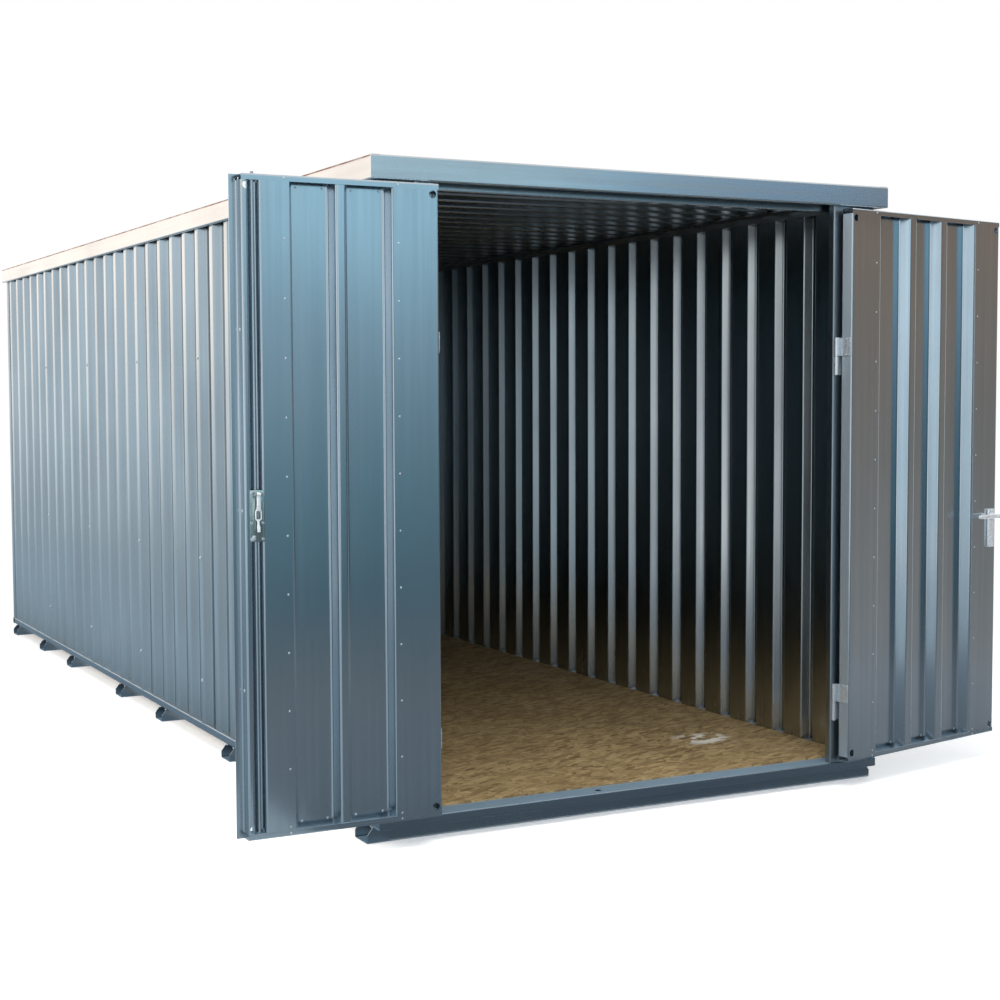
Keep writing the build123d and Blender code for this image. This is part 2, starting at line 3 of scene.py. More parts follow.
import json
import logging
import math
from dataclasses import dataclass
from enum import Enum
from typing import Any, Sequence

import bmesh
import bpy
from mathutils import Matrix, Vector, noise


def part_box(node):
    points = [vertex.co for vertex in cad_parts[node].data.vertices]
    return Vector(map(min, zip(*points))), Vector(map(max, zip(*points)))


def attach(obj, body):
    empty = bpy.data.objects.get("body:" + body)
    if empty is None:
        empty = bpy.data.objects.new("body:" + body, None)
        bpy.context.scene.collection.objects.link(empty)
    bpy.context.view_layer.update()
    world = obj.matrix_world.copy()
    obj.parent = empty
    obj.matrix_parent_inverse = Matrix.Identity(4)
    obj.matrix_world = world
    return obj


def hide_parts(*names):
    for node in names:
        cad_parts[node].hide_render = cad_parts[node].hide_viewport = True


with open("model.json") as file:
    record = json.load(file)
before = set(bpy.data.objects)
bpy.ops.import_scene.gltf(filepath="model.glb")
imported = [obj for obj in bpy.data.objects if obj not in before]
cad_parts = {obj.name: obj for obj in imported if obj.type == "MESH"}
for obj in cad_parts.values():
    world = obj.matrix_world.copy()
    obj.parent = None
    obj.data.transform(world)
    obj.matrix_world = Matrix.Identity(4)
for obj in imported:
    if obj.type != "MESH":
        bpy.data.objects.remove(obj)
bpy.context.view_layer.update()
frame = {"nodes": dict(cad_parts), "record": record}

log = logging.getLogger("container")

Point2 = tuple[float, float]
Colour = tuple[float, float, float]
Point3 = tuple[float, float, float]
Line = tuple[Point2, ...]
Stops = tuple[tuple[float, Colour], ...]
Values = dict[str, Any]
Socket = bpy.types.NodeSocket
Material = bpy.types.Material

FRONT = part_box("front_sill")[0].y
X_AXIS = Vector((1, 0, 0))
Y_AXIS = Vector((0, 1, 0))
Z_AXIS = Vector((0, 0, 1))


class Body(Enum):
    """Bodies that the pieces ride on."""

    CONTAINER = "container"
    LEFT_LEAF = "left_leaf"
    RIGHT_LEAF = "right_leaf"
    LATCH_LEVER = "latch_lever"
    HANDLE = "handle"


class Slot(Enum):
    """Material slots of the record, passed along with the added pieces."""

    SHEET = "profiled_sheet"
    ZINC = "zinc_hardware"


class Grain(Enum):
    """Rolling direction of the sheet, as the scale of its streaks along X, Y and Z."""

    ALONG_X = (0.8, 42.0, 42.0)
    ALONG_Y = (42.0, 0.8, 42.0)
    ALONG_Z = (42.0, 42.0, 0.8)


class Graph:
    """Node tree of one material or world, with short calls for the nodes that the finishes share."""

    def __init__(self, name: str, world: bool = False) -> None:
        """Starts an empty tree.

        Args:
            name: Name of the new material or world.
            world: Whether the tree is that of a world.
        """
        self.owner = (bpy.data.worlds if world else bpy.data.materials).new(name)
        self.owner.use_nodes = True
        self.tree = self.owner.node_tree
        self.tree.nodes.clear()
        self.output = self.tree.nodes.new("ShaderNodeOutputWorld" if world else "ShaderNodeOutputMaterial")

    def node(self, kind: str, inputs: dict[Any, Any] | None = None, **settings: Any) -> bpy.types.Node:
        """Adds a node.

        Args:
            kind: Type of the node.
            inputs: Values or sockets for its inputs, by name or number.
            settings: Values of its properties.

        Returns:
            The new node.
        """
        made = self.tree.nodes.new(kind)
        for key, value in settings.items():
            setattr(made, key, value)
        for key, value in (inputs or {}).items():
            if isinstance(value, Socket):
                self.tree.links.new(value, made.inputs[key])
            else:
                made.inputs[key].default_value = value
        return made

    def place(self, scale: Sequence[float] = (1, 1, 1), turn: Sequence[float] = (0, 0, 0)) -> Socket:
        """Object coordinates in metres, turned and then scaled.

        Args:
            scale: Scale along the turned X, Y and Z.
            turn: Turn about X, Y and Z in radians.

        Returns:
            The vector socket.
        """
        places = self.node("ShaderNodeTexCoord").outputs["Object"]
        inputs = {"Vector": places, "Scale": [1.0 / part for part in scale], "Rotation": turn}
        return self.node("ShaderNodeMapping", inputs, vector_type="TEXTURE").outputs["Vector"]

    def noise(self, vector: Socket, scale: float, detail: float = 3.0) -> Socket:
        """Noise value at a vector, with the given scale and detail."""
        inputs = {"Vector": vector, "Scale": scale, "Detail": detail}
        return self.node("ShaderNodeTexNoise", inputs).outputs[0]

    def span(
        self, value: Socket, low: float, high: float, to_low: float = 0.0, to_high: float = 1.0
    ) -> Socket:
        """Maps a value from one range to another, held at the ends.

        Args:
            value: Socket to map.
            low: Value that becomes to_low.
            high: Value that becomes to_high.
            to_low: Start of the new range.
            to_high: End of the new range.

        Returns:
            The mapped socket.
        """
        inputs = {"Value": value, 1: low, 2: high, 3: to_low, 4: to_high}
        return self.node("ShaderNodeMapRange", inputs, clamp=True).outputs[0]

    def ramp(self, value: Socket, stops: Stops) -> Socket:
        """Colour along a value.

        Args:
            value: Socket to colour by.
            stops: Place and colour of each stop, in rising order.

        Returns:
            The colour socket.
        """
        made = self.node("ShaderNodeValToRGB", {0: value})
        elements = made.color_ramp.elements
        while len(elements) < len(stops):
            elements.new(0.5)
        for element, (place, colour) in zip(elements, stops):
            element.position = place
            element.color = (*colour, 1.0)
        return made.outputs[0]

    def mix(self, factor: float | Socket, first: Colour | Socket, second: Colour | Socket) -> Socket:
        """Mixes two colours.

        Args:
            factor: Share of the second colour.
            first: First colour.
            second: Second colour.

        Returns:
            The mixed colour.
        """
        inputs: dict[Any, Any] = {0: factor}
        for number, value in ((6, first), (7, second)):
            inputs[number] = value if isinstance(value, Socket) else (*value, 1.0)
        return self.node("ShaderNodeMix", inputs, data_type="RGBA").outputs[2]

    def sums(self, kind: str, first: float | Socket, second: float | Socket) -> Socket:
        """Result of a sum of two numbers or sockets."""
        return self.node("ShaderNodeMath", {0: first, 1: second}, operation=kind).outputs[0]

    def plus(self, value: float | Socket, other: Socket, share: float) -> Socket:
        """A value with a share of another added to it."""
        return self.sums("ADD", value, self.sums("MULTIPLY", other, share))

    def half_each(self, first: Socket, second: Socket) -> Socket:
        """Half of one value and half of another."""
        return self.plus(self.sums("MULTIPLY", first, 0.5), second, 0.5)

    def bump(self, height: Socket, strength: float, distance: float) -> Socket:
        """Normal of a surface in relief, from its height."""
        inputs = {"Height": height, "Strength": strength, "Distance": distance}
        return self.node("ShaderNodeBump", inputs).outputs[0]

    def away(self, middle: Point2, reach: Point2) -> Socket:
        """Square of the distance on the ground from a middle.

        Args:
            middle: X and Y of the middle.
            reach: Units of the distance along X and Y.

        Returns:
            The squared distance.
        """
        parts = self.node("ShaderNodeSeparateXYZ", {0: self.place()})
        squares = []
        for number in (0, 1):
            off = self.sums("SUBTRACT", parts.outputs[number], middle[number])
            off = self.sums("DIVIDE", off, reach[number])
            squares.append(self.sums("MULTIPLY", off, off))
        return self.sums("ADD", squares[0], squares[1])

    def facing(self, axis: int) -> Socket:
        """Share of a face that looks along an axis of its piece.

        Args:
            axis: Number of the axis.

        Returns:
            One for a face that looks along it, nothing for one that is much turned from it.
        """
        normal = self.node("ShaderNodeTexCoord").outputs["Normal"]
        part = self.node("ShaderNodeSeparateXYZ", {0: normal}).outputs[axis]
        return self.span(self.sums("ABSOLUTE", part, 0.0), 0.82, 0.93)

    def seen(self) -> Socket:
        """Tells what is looked at from what only gives light.

        Returns:
            One for what the camera, metal or glass shows, and nothing for the rest.
        """
        path = self.node("ShaderNodeLightPath").outputs
        seen = self.sums("MAXIMUM", path["Is Camera Ray"], path["Is Glossy Ray"])
        return self.sums("MAXIMUM", seen, path["Is Transmission Ray"])

    def end(self, shader: bpy.types.Node) -> None:
        """Ends the tree in a shader."""
        self.tree.links.new(shader.outputs[0], self.output.inputs["Surface"])

    def shade(self, inputs: dict[Any, Any]) -> Material:
        """Ends the tree in a surface shader with the given inputs and gives the material."""
        self.end(self.node("ShaderNodeBsdfPrincipled", inputs))
        return self.owner


@dataclass(frozen=True)
class GalvanisedFinish:
    """Hot-dip galvanised sheet: rolled streaks, faint spangle, slow waves, dust near the ground."""

    name: str
    grain: Grain
    light: Colour = (0.62, 0.67, 0.70)
    dark: Colour = (0.52, 0.57, 0.60)
    metallic: float = 1.0
    roughness: Point2 = (0.17, 0.26)
    wave: float = 0.0008
    dust: float = 0.30
    dust_heights: Point2 = (0.02, 0.40)
    dust_colour: Colour = (0.27, 0.25, 0.21)
    brown_edge_from: float = 9.0
    brown_edge_run: float = 0.004
    brown_edge_colour: Colour = (0.30, 0.13, 0.07)
    # Painted light: the axis, colour and metal share of faces that take a painted-light colour for the light
    # falling on that side.
    rubbed: int | None = None
    painted_light_colour: Colour = (0.38, 0.45, 0.51)
    painted_light_metallic: float = 0.7
    tones: Point2 = (0.36, 0.64)
    spangle: float = 0.012
    spangle_scale: float = 110.0

    def material(self) -> Material:
        """Builds the material.

        Returns:
            The finished material.
        """
        graph = Graph(self.name)
        plain = graph.place()
        streak = graph.noise(graph.place(self.grain.value), 1.0, 4.0)
        cells = graph.node("ShaderNodeTexVoronoi", {"Vector": plain, "Scale": self.spangle_scale})
        flake = graph.node("ShaderNodeSeparateColor", {0: cells.outputs["Color"]}).outputs[0]
        tone = graph.half_each(streak, graph.noise(plain, 1.7, 3.0))
        tone = graph.sums("ADD", tone, graph.span(flake, 0.0, 1.0, -self.spangle, self.spangle))
        colour = graph.mix(graph.span(tone, *self.tones), self.dark, self.light)
        height = graph.node("ShaderNodeSeparateXYZ", {0: plain}).outputs[2]
        splash = graph.span(height, *self.dust_heights, self.dust, 0.0)
        splash = graph.sums("MULTIPLY", splash, graph.noise(plain, 9.0, 5.0))
        colour = graph.mix(splash, colour, self.dust_colour)
        # A brown band in noisy patches along the top edge of the piece, darker and rougher than the rest.
        brown_edge = graph.span(height, self.brown_edge_from, self.brown_edge_from + self.brown_edge_run)
        patches = graph.span(graph.noise(plain, 14.0, 4.0), 0.25, 0.6, 0.35, 1.0)
        brown_edge = graph.sums("MULTIPLY", brown_edge, patches)
        colour = graph.mix(brown_edge, colour, self.brown_edge_colour)
        rough = graph.span(tone, *self.tones, self.roughness[1], self.roughness[0])
        rough = graph.plus(graph.plus(rough, splash, 0.3), brown_edge, 0.35)
        metal: float | Socket = self.metallic
        # Painted light: faces that look along the chosen axis take another colour, rougher and less metallic,
        # standing in for the light that falls on them from that side.
        if self.rubbed is not None:
            rub = graph.facing(self.rubbed)
            colour = graph.mix(rub, colour, self.painted_light_colour)
            rough = graph.plus(rough, rub, 0.28)
            metal = graph.span(rub, 0.0, 1.0, self.metallic, self.painted_light_metallic)
        swell = graph.noise(graph.place([0.25 + 0.055 * part for part in self.grain.value]), 2.2, 1.0)
        normal = graph.bump(swell, 0.6, self.wave)
        return graph.shade({"Base Color": colour, "Metallic": metal, "Roughness": rough, "Normal": normal})


@dataclass(frozen=True)
class ZincFinish:
    """Zinc plate on the hardware, with fine brush marks and a little dulling."""

    name: str
    light: Colour = (0.80, 0.84, 0.88)
    dark: Colour = (0.73, 0.77, 0.81)
    roughness: Point2 = (0.25, 0.32)
    metallic: float = 0.5
    tones: Point2 = (0.35, 0.65)

    def material(self) -> Material:
        """Builds the material.

        Returns:
            The finished material.
        """
        graph = Graph(self.name)
        brush = graph.noise(graph.place((600, 600, 60)), 1.0, 3.0)
        tone = graph.half_each(brush, graph.noise(graph.place(), 60.0, 3.0))
        colour = graph.mix(graph.span(tone, *self.tones), self.dark, self.light)
        rough = graph.span(tone, *self.tones, self.roughness[1], self.roughness[0])
        normal = graph.bump(brush, 0.05, 0.0001)
        inputs = {"Base Color": colour, "Metallic": self.metallic, "Roughness": rough, "Normal": normal}
        return graph.shade(inputs)


@dataclass(frozen=True)
class DarkFinish:
    """Near-black painted shade for the key slots, standing in for the shade inside the keyway."""

    name: str
    dark: Colour = (0.012, 0.012, 0.013)
    light: Colour = (0.035, 0.035, 0.036)
    roughness: float = 0.62

    def material(self) -> Material:
        """Builds the material.

        Returns:
            The finished material.
        """
        graph = Graph(self.name)
        speck = graph.noise(graph.place(), 420.0, 3.0)
        colour = graph.mix(graph.span(speck, 0.4, 0.7), self.dark, self.light)
        normal = graph.bump(speck, 0.3, 0.0003)
        return graph.shade({"Base Color": colour, "Roughness": self.roughness, "Normal": normal})


@dataclass(frozen=True)
class StrandBoardFinish:
    """Strand board: flat flakes of wood laid at all angles, in several shades, with a few chalky scuffs."""

    name: str
    pale: Colour = (0.55, 0.41, 0.21)
    mid: Colour = (0.34, 0.24, 0.11)
    deep: Colour = (0.15, 0.09, 0.035)
    layers: tuple[tuple[float, float, float], ...] = (
        (0.00, 13.0, 52.0),
        (0.50, 16.0, 60.0),
        (-0.70, 15.0, 56.0),
        (1.30, 14.0, 54.0),
        (-0.25, 17.0, 62.0),
        (0.95, 18.0, 68.0),
        (-1.15, 16.0, 60.0),
    )
    scuff_place: Point2 = (0.66, 0.60)
    scuff_reach: Point2 = (0.15, 0.14)
    chalk: Colour = (0.86, 0.84, 0.78)
    roughness: float = 0.62
    flake_depth: float = 30.0

    def material(self) -> Material:
        """Builds the material.

        Returns:
            The finished material.
        """
        graph = Graph(self.name)
        colour: Colour | Socket = self.mid
        lift: float | Socket = 0.0
        for number, (turn, long_scale, short_scale) in enumerate(self.layers):
            place = graph.place((short_scale, long_scale, self.flake_depth), (0, 0, turn))
            shift = graph.node("ShaderNodeVectorMath", {0: place, 1: (3.7 * number, 1.9 * number, 0)})
            inputs = {"Vector": shift.outputs[0], "Scale": 1.0, "Randomness": 0.95}
            cells = graph.node("ShaderNodeTexVoronoi", inputs)
            parts = graph.node("ShaderNodeSeparateColor", {0: cells.outputs["Color"]}).outputs
            fibre_place = graph.place((short_scale * 8, long_scale, self.flake_depth), (0, 0, turn))
            fibre = graph.noise(fibre_place, 1.0, 3.0)
            wood = graph.mix(parts[0], self.deep, self.pale)
            wood = graph.mix(graph.span(fibre, 0.3, 0.7, 0.0, 0.45), wood, self.mid)
            shown = graph.span(parts[1], 0.42, 0.46) if number else 1.0
            colour = graph.mix(shown, colour, wood)
            step = graph.sums("MULTIPLY", shown, graph.sums("ADD", parts[2], 0.15 * number))
            lift = graph.sums("ADD", lift, step)
        cloud = graph.noise(graph.place(), 2.2, 3.0)
        colour = graph.mix(graph.span(cloud, 0.4, 0.75, 0.0, 0.25), colour, self.deep)
        gone = graph.away((self.scuff_place[0], FRONT + self.scuff_place[1]), self.scuff_reach)
        smear = graph.noise(graph.place((11.0, 16.0, 1.0), (0, 0, 0.4)), 1.0, 3.0)
        scuff = graph.span(gone, 0.2, 1.0, 1.0, 0.0)
        scuff = graph.sums("MULTIPLY", scuff, graph.span(smear, 0.50, 0.56, 0.0, 0.9))
        colour = graph.mix(scuff, colour, self.chalk)
        normal = graph.bump(lift, 0.4, 0.0005)
        return graph.shade({"Base Color": colour, "Roughness": self.roughness, "Normal": normal})


class Finishes:
    """All finishes of the container, each built once."""

    def __init__(self) -> None:
        """Builds the materials."""
        # Darker, bluer finish for the parts at the base: skids, sills and base rails.
        base: Values = {
            "light": (0.34, 0.41, 0.47), "dark": (0.26, 0.32, 0.37), "roughness": (0.22, 0.32),
            "wave": 0.0006, "dust": 0.25,
        }
        leaf: Values = {
            "light": (0.56, 0.63, 0.68), "dark": (0.47, 0.54, 0.59), "roughness": (0.13, 0.21),
        }
        part: Values = {"wave": 0.0006, "roughness": (0.20, 0.30)}
        cream: Values = {
            "light": (0.57, 0.575, 0.57), "dark": (0.51, 0.515, 0.51), "brown_edge_from": 2.316,
        }
        wall: Values = {"light": (0.46, 0.505, 0.53), "dark": (0.38, 0.42, 0.445)}
        # Painted shade: the roof sheet, seen only from inside as the ceiling, is darker than the wall sheet
        # to stand in for the shade under the roof.
        roof: Values = {
            "light": (0.34, 0.365, 0.38), "dark": (0.27, 0.295, 0.31), "roughness": (0.24, 0.34),
        }
        post: Values = {
            "light": (0.37, 0.43, 0.47), "dark": (0.30, 0.35, 0.385), "roughness": (0.32, 0.42),
            "wave": 0.0006,
        }
        # Painted light: up-facing faces of the leaf rails and the sill take a lighter blue, a painted
        # reflection of the sky; the stiles' X-facing edge faces take the painted-light colour too.
        rail_painted_light: Values = {"wave": 0.0006, "rubbed": 2, "painted_light_colour": (0.50, 0.64, 0.76)}
        sill_painted_light: Values = {"rubbed": 2, "painted_light_colour": (0.40, 0.56, 0.70)}
        self.wall = self.sheet("galvanised wall sheet", Grain.ALONG_Z, **wall)
        self.roof = self.sheet("galvanised roof sheet in painted shade", Grain.ALONG_X, **roof)
        self.leaf = self.sheet("galvanised leaf sheet", Grain.ALONG_Z, **leaf)
        self.stile = self.sheet("galvanised leaf stile", Grain.ALONG_Z, **leaf, rubbed=0)
        self.leaf_rail = self.sheet("galvanised leaf rail", Grain.ALONG_X, **leaf, **rail_painted_light)
        self.upright = self.sheet("galvanised upright", Grain.ALONG_Z, **post)
        self.crosswise = self.sheet("galvanised cross section", Grain.ALONG_X, **part)
        self.lengthwise = self.sheet("galvanised long section", Grain.ALONG_Y, **cream, **part)
        self.base_cross = self.sheet("darker cross section", Grain.ALONG_X, **base)
        self.sill = self.sheet("darker sill", Grain.ALONG_X, **base, **sill_painted_light)
        self.base_long = self.sheet("darker long section", Grain.ALONG_Y, **base)
        self.zinc = ZincFinish("bright zinc plate").material()
        green = ZincFinish("passivated zinc plate", (0.48, 0.58, 0.57), (0.34, 0.44, 0.43), (0.18, 0.28), 1.0)
        self.green_zinc = green.material()
        dull = ZincFinish("dulled zinc plate", (0.60, 0.67, 0.72), (0.54, 0.60, 0.65), (0.26, 0.32), 0.75)
        self.hinge_zinc = dull.material()
        # Painted shade: a near-black finish for the key slots.
        self.slot = DarkFinish("painted keyway shade").material()
        self.board = StrandBoardFinish("strand board").material()

    @staticmethod
    def sheet(name: str, grain: Grain, **values: Any) -> Material:
        """Galvanised finish of the given name, grain and values."""
        return GalvanisedFinish(name, grain, **values).material()


def linked(name: str, data: bpy.types.ID) -> bpy.types.Object:
    """Makes an object and links it to the scene.

    Args:
        name: Name of the object.
        data: Its mesh, camera or lamp.

    Returns:
        The new object.
    """
    made = bpy.data.objects.new(name, data)
    bpy.context.scene.collection.objects.link(made)
    return made


class PieceMesh:
    """Mesh of one piece, put together from swept, turned and blocked shapes in the row frame."""

    def __init__(self, name: str) -> None:
        """Starts an empty mesh for a piece of the given name."""
        self.name = name
        self.bm = bmesh.new()

    def ring_strip(self, rings: Sequence[Sequence[Vector]], closed: bool, caps: bool) -> None:
        """Joins rings of points with faces.

        Args:
            rings: Rings of points, all of one length.
            closed: Whether each ring closes on itself.
            caps: Whether the first and last ring get an end face.
        """
        made = [[self.bm.verts.new(point) for point in ring] for ring in rings]
        count = len(made[0])
        for first, second in zip(made, made[1:]):
            for index in range(count if closed else count - 1):
                after = (index + 1) % count
                self.bm.faces.new((first[index], first[after], second[after], second[index]))
        if caps:
            self.bm.faces.new(list(reversed(made[0])))
            self.bm.faces.new(made[-1])

    def turned(self, place: Matrix, section: Sequence[Point2], segments: int = 16) -> None:
        """Adds a turned shape about the local Z axis.

        Args:
            place: Where the shape's own frame sits.
            section: Radius and height of each ring, from the bottom up.
            segments: Number of sides.
        """
        rings = []
        for radius, height in section:
            ring = []
            for index in range(segments):
                angle = 2 * math.pi * index / segments
                ring.append(place @ Vector((radius * math.cos(angle), radius * math.sin(angle), height)))
            rings.append(ring)
        self.ring_strip(rings, True, True)

    def block(self, place: Matrix, size: Sequence[float], bevel: float, segments: int = 2) -> None:
        """Adds a block with rounded edges.

        Args:
            place: Where the block's middle sits.
            size: Size along the local X, Y and Z.
            bevel: Radius of its edges.
            segments: Number of faces round an edge.
        """
        matrix = place @ Matrix.Diagonal((*size, 1.0))
        made = bmesh.ops.create_cube(self.bm, size=1.0, matrix=matrix)
        edges = list(dict.fromkeys(edge for vert in made["verts"] for edge in vert.link_edges))
        shape = {"offset": bevel, "segments": segments, "profile": 0.5}
        bmesh.ops.bevel(self.bm, geom=edges, affect="EDGES", clamp_overlap=True, **shape)

    def bar(self, points: Sequence[Vector], side: Vector, sizes: Sequence[Point2], steps: int = 4) -> None:
        """Adds a flat bar with rounded edges along points.

        Args:
            points: Middle line of the bar.
            side: Direction of its width.
            sizes: Width and thickness at each point.
            steps: Number of pieces round each edge.
        """
        rings = []
        for index, (point, (width, thickness)) in enumerate(zip(points, sizes)):
            tangent = points[min(index + 1, len(points) - 1)] - points[max(index - 1, 0)]
            up = tangent.cross(side).normalized()
            radius = 0.48 * min(width, thickness)
            ring = []
            for corner, (turn_x, turn_y) in enumerate(((1, 1), (-1, 1), (-1, -1), (1, -1))):
                for step in range(steps + 1):
                    angle = math.pi / 2 * (corner + step / steps)
                    off_x = turn_x * (width / 2 - radius) + radius * math.cos(angle)
                    off_y = turn_y * (thickness / 2 - radius) + radius * math.sin(angle)
                    ring.append(point + off_x * side + off_y * up)
            rings.append(ring)
        self.ring_strip(rings, True, True)

    def loop(self, points: Sequence[Vector], normal: Vector, size: Point2) -> None:
        """Adds a closed loop of flat wire.

        Args:
            points: Middle line of the wire, not closed.
            normal: Direction across the loop.
            size: Width in the loop's plane and thickness across it.
        """
        rings = []
        count = len(points)
        sides = 8
        for index in range(count + 1):
            tangent = points[(index + 1) % count] - points[(index - 1) % count]
            out = tangent.normalized().cross(normal).normalized()
            ring = []
            for step in range(sides):
                angle = 2 * math.pi * (step + 0.5) / sides
                spot = points[index % count] + out * (0.54 * size[0] * math.cos(angle))
                ring.append(spot + normal * (0.54 * size[1] * math.sin(angle)))
            rings.append(ring)
        self.ring_strip(rings, True, False)
        bmesh.ops.remove_doubles(self.bm, verts=self.bm.verts[-2 * sides * count:], dist=1e-7)

    def finish(
        self, material: Material, body: Body, slot: Slot | None, sharp: float = 38.0
    ) -> bpy.types.Object:
        """Makes the object, gives it its finish and lets it ride.

        Args:
            material: Finish of the piece.
            body: Body that it rides on.
            slot: Material slot of the record, if one fits; not used.
            sharp: Angle in degrees above which an edge stays sharp.

        Returns:
            The new object.
        """
        bmesh.ops.recalc_face_normals(self.bm, faces=self.bm.faces[:])
        mesh = bpy.data.meshes.new(self.name)
        self.bm.to_mesh(mesh)
        self.bm.free()
        mesh.materials.append(material)
        mesh.shade_smooth()
        mesh.set_sharp_from_angle(angle=math.radians(sharp))
        piece = linked(self.name, mesh)
        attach(piece, body.value)
        log.info("%s: %d faces on %s", self.name, len(mesh.polygons), body.value)
        return piece


def aimed(point: Vector, normal: Vector) -> Matrix:
    """Frame at a point whose Z axis looks along a normal.

    Args:
        point: Origin of the frame.
        normal: Direction of its Z axis.

    Returns:
        The matrix of the frame.
    """
    return Matrix.Translation(point) @ Z_AXIS.rotation_difference(normal).to_matrix().to_4x4()


def add_screw(mesh: PieceMesh, point: Vector, normal: Vector, size: float = 0.0055) -> None:
    """Adds a hexagon screw with its washer.

    Args:
        mesh: Mesh to add it to.
        point: Where it sits on the face.
        normal: Direction away from the face.
        size: Half the width of its head.
    """
    place = aimed(point, normal)
    mesh.turned(place, [(1.6 * size, -0.001), (1.6 * size, 0.0008), (1.3 * size, 0.0016)], 18)
    mesh.turned(place, [(size, 0.001), (size, 0.0042), (0.8 * size, 0.0052)], 6)


def add_rivet(mesh: PieceMesh, point: Vector, normal: Vector, size: float = 0.0034) -> None:
    """Adds a dome-head rivet.

    Args:
        mesh: Mesh to add it to.
        point: Where it sits on the face.
        normal: Direction away from the face.
        size: Radius of its head.
    """
    section = [(size, -0.0006), (size, 0.1 * size), (0.8 * size, 0.3 * size), (0.35 * size, 0.42 * size)]
    mesh.turned(aimed(point, normal), section, 14)


def rounded(points: Sequence[Point2], radius: float, steps: int = 4) -> list[Point2]:
    """Rounds the corners of a section line.

    Args:
        points: Corners of the line.
        radius: Radius of the bends.
        steps: Number of pieces round a bend.

    Returns:
        Points of the rounded line.
    """
    line = [points[0]]
    for before, corner, after in zip(points, points[1:], points[2:]):
        here = Vector(corner)
        back = Vector(before) - here
        ahead = Vector(after) - here
        bend = math.pi - back.angle(ahead)
        reach = min(radius * math.tan(bend / 2), 0.45 * back.length, 0.45 * ahead.length)
        start = here + back.normalized() * reach
        end = here + ahead.normalized() * reach
        for step in range(steps + 1):
            share = step / steps
            spot = (1 - share) ** 2 * start + 2 * share * (1 - share) * here + share**2 * end
            line.append((spot.x, spot.y))
    line.append(points[-1])
    return line


def thickened(line: Sequence[Point2], thickness: float) -> list[Point2]:
    """Second face of a sheet, set off from a section line.

    Args:
        line: Points of the first face.
        thickness: Distance to the left of the line.

    Returns:
        Points of the second face, one for each of the first.
    """
    moved = []
    for index, point in enumerate(line):
        here = Vector(point)
        normals = []
        for first, second in ((index - 1, index), (index, index + 1)):
            if 0 <= first and second < len(line):
                run = Vector(line[second]) - Vector(line[first])
                if run.length > 1e-9:
                    normals.append(Vector((-run.y, run.x)).normalized())
        normal = sum(normals, Vector((0, 0))).normalized()
        moved.append(tuple(here + normal * (thickness / max(normal.dot(normals[0]), 0.5))))
    return moved


@dataclass
class ProfiledSheet:
    """A panel of profiled sheet with rounded bends, a little wavy as thin sheet is."""

    origin: Vector
    along: Vector
    outward: Vector
    run: Vector
    length: float
    crown: float = 0.045
    foot: float = 0.080
    depth: float = 0.036
    thickness: float = 0.002
    bend: float = 0.008
    wave: float = 0.0007
    pieces: int = 14
    lap_edge: Point2 = (0.010, 0.022)

    def section(self, start: float, end: float, middles: Sequence[float], lap: float = 0.0) -> list[Point2]:
        """Section line of one panel.

        Args:
            start: Place of its first edge.
            end: Place of its last edge.
            middles: Places of its ribs.
            lap: How far its first rib and edge stand off to lie over the panel before it.

        Returns:
            Points as place along the wall and distance outwards.
        """
        points = [(start, lap)]
        for index, middle in enumerate(middles):
            level = lap if index == 0 else 0.0
            points.append((middle - self.foot / 2, level))
            points.append((middle - self.crown / 2, level + self.depth))
            points.append((middle + self.crown / 2, level + self.depth))
            points.append((middle + self.foot / 2, level))
            if index == 0 and lap:
                points.append((middle + self.foot / 2 + self.lap_edge[0], lap))
                points.append((middle + self.foot / 2 + self.lap_edge[1], 0.0))
        points.append((end, 0.0))
        return points

    def sweep(self, mesh: PieceMesh, corners: Sequence[Point2], inward: float = 1.0) -> None:
        """Runs a section out into the mesh.

        Args:
            mesh: Mesh to add the panel to.
            corners: Section line.
            inward: Sign of the side that the thickness goes to, against the line's left.
        """
        first = rounded(corners, self.bend)
        second = thickened(first, inward * self.thickness)
        loop = list(first) + list(reversed(second))
        rings = []
        for piece in range(self.pieces + 1):
            share = piece / self.pieces
            fade = min(1.0, 6 * share, 6 * (1 - share))
            ring = []
            for place, out in loop:
                spot = Vector((place * 3.1, share * self.length * 1.4, self.origin.x + self.origin.z))
                shift = self.wave * fade * noise.noise(spot)
                spot = self.origin + self.along * place + self.outward * (out + shift)
                ring.append(spot + self.run * (share * self.length))
            rings.append(ring)
        mesh.ring_strip(rings, True, False)
        half = len(first)
        for ring_start in (0, self.pieces):
            mesh.bm.verts.ensure_lookup_table()
            base = len(mesh.bm.verts) - (self.pieces + 1 - ring_start) * len(loop)
            for index in range(half - 1):
                pair = len(loop) - 1 - index
                corner_numbers = (index, index + 1, pair - 1, pair)
                mesh.bm.faces.new([mesh.bm.verts[base + number] for number in corner_numbers])


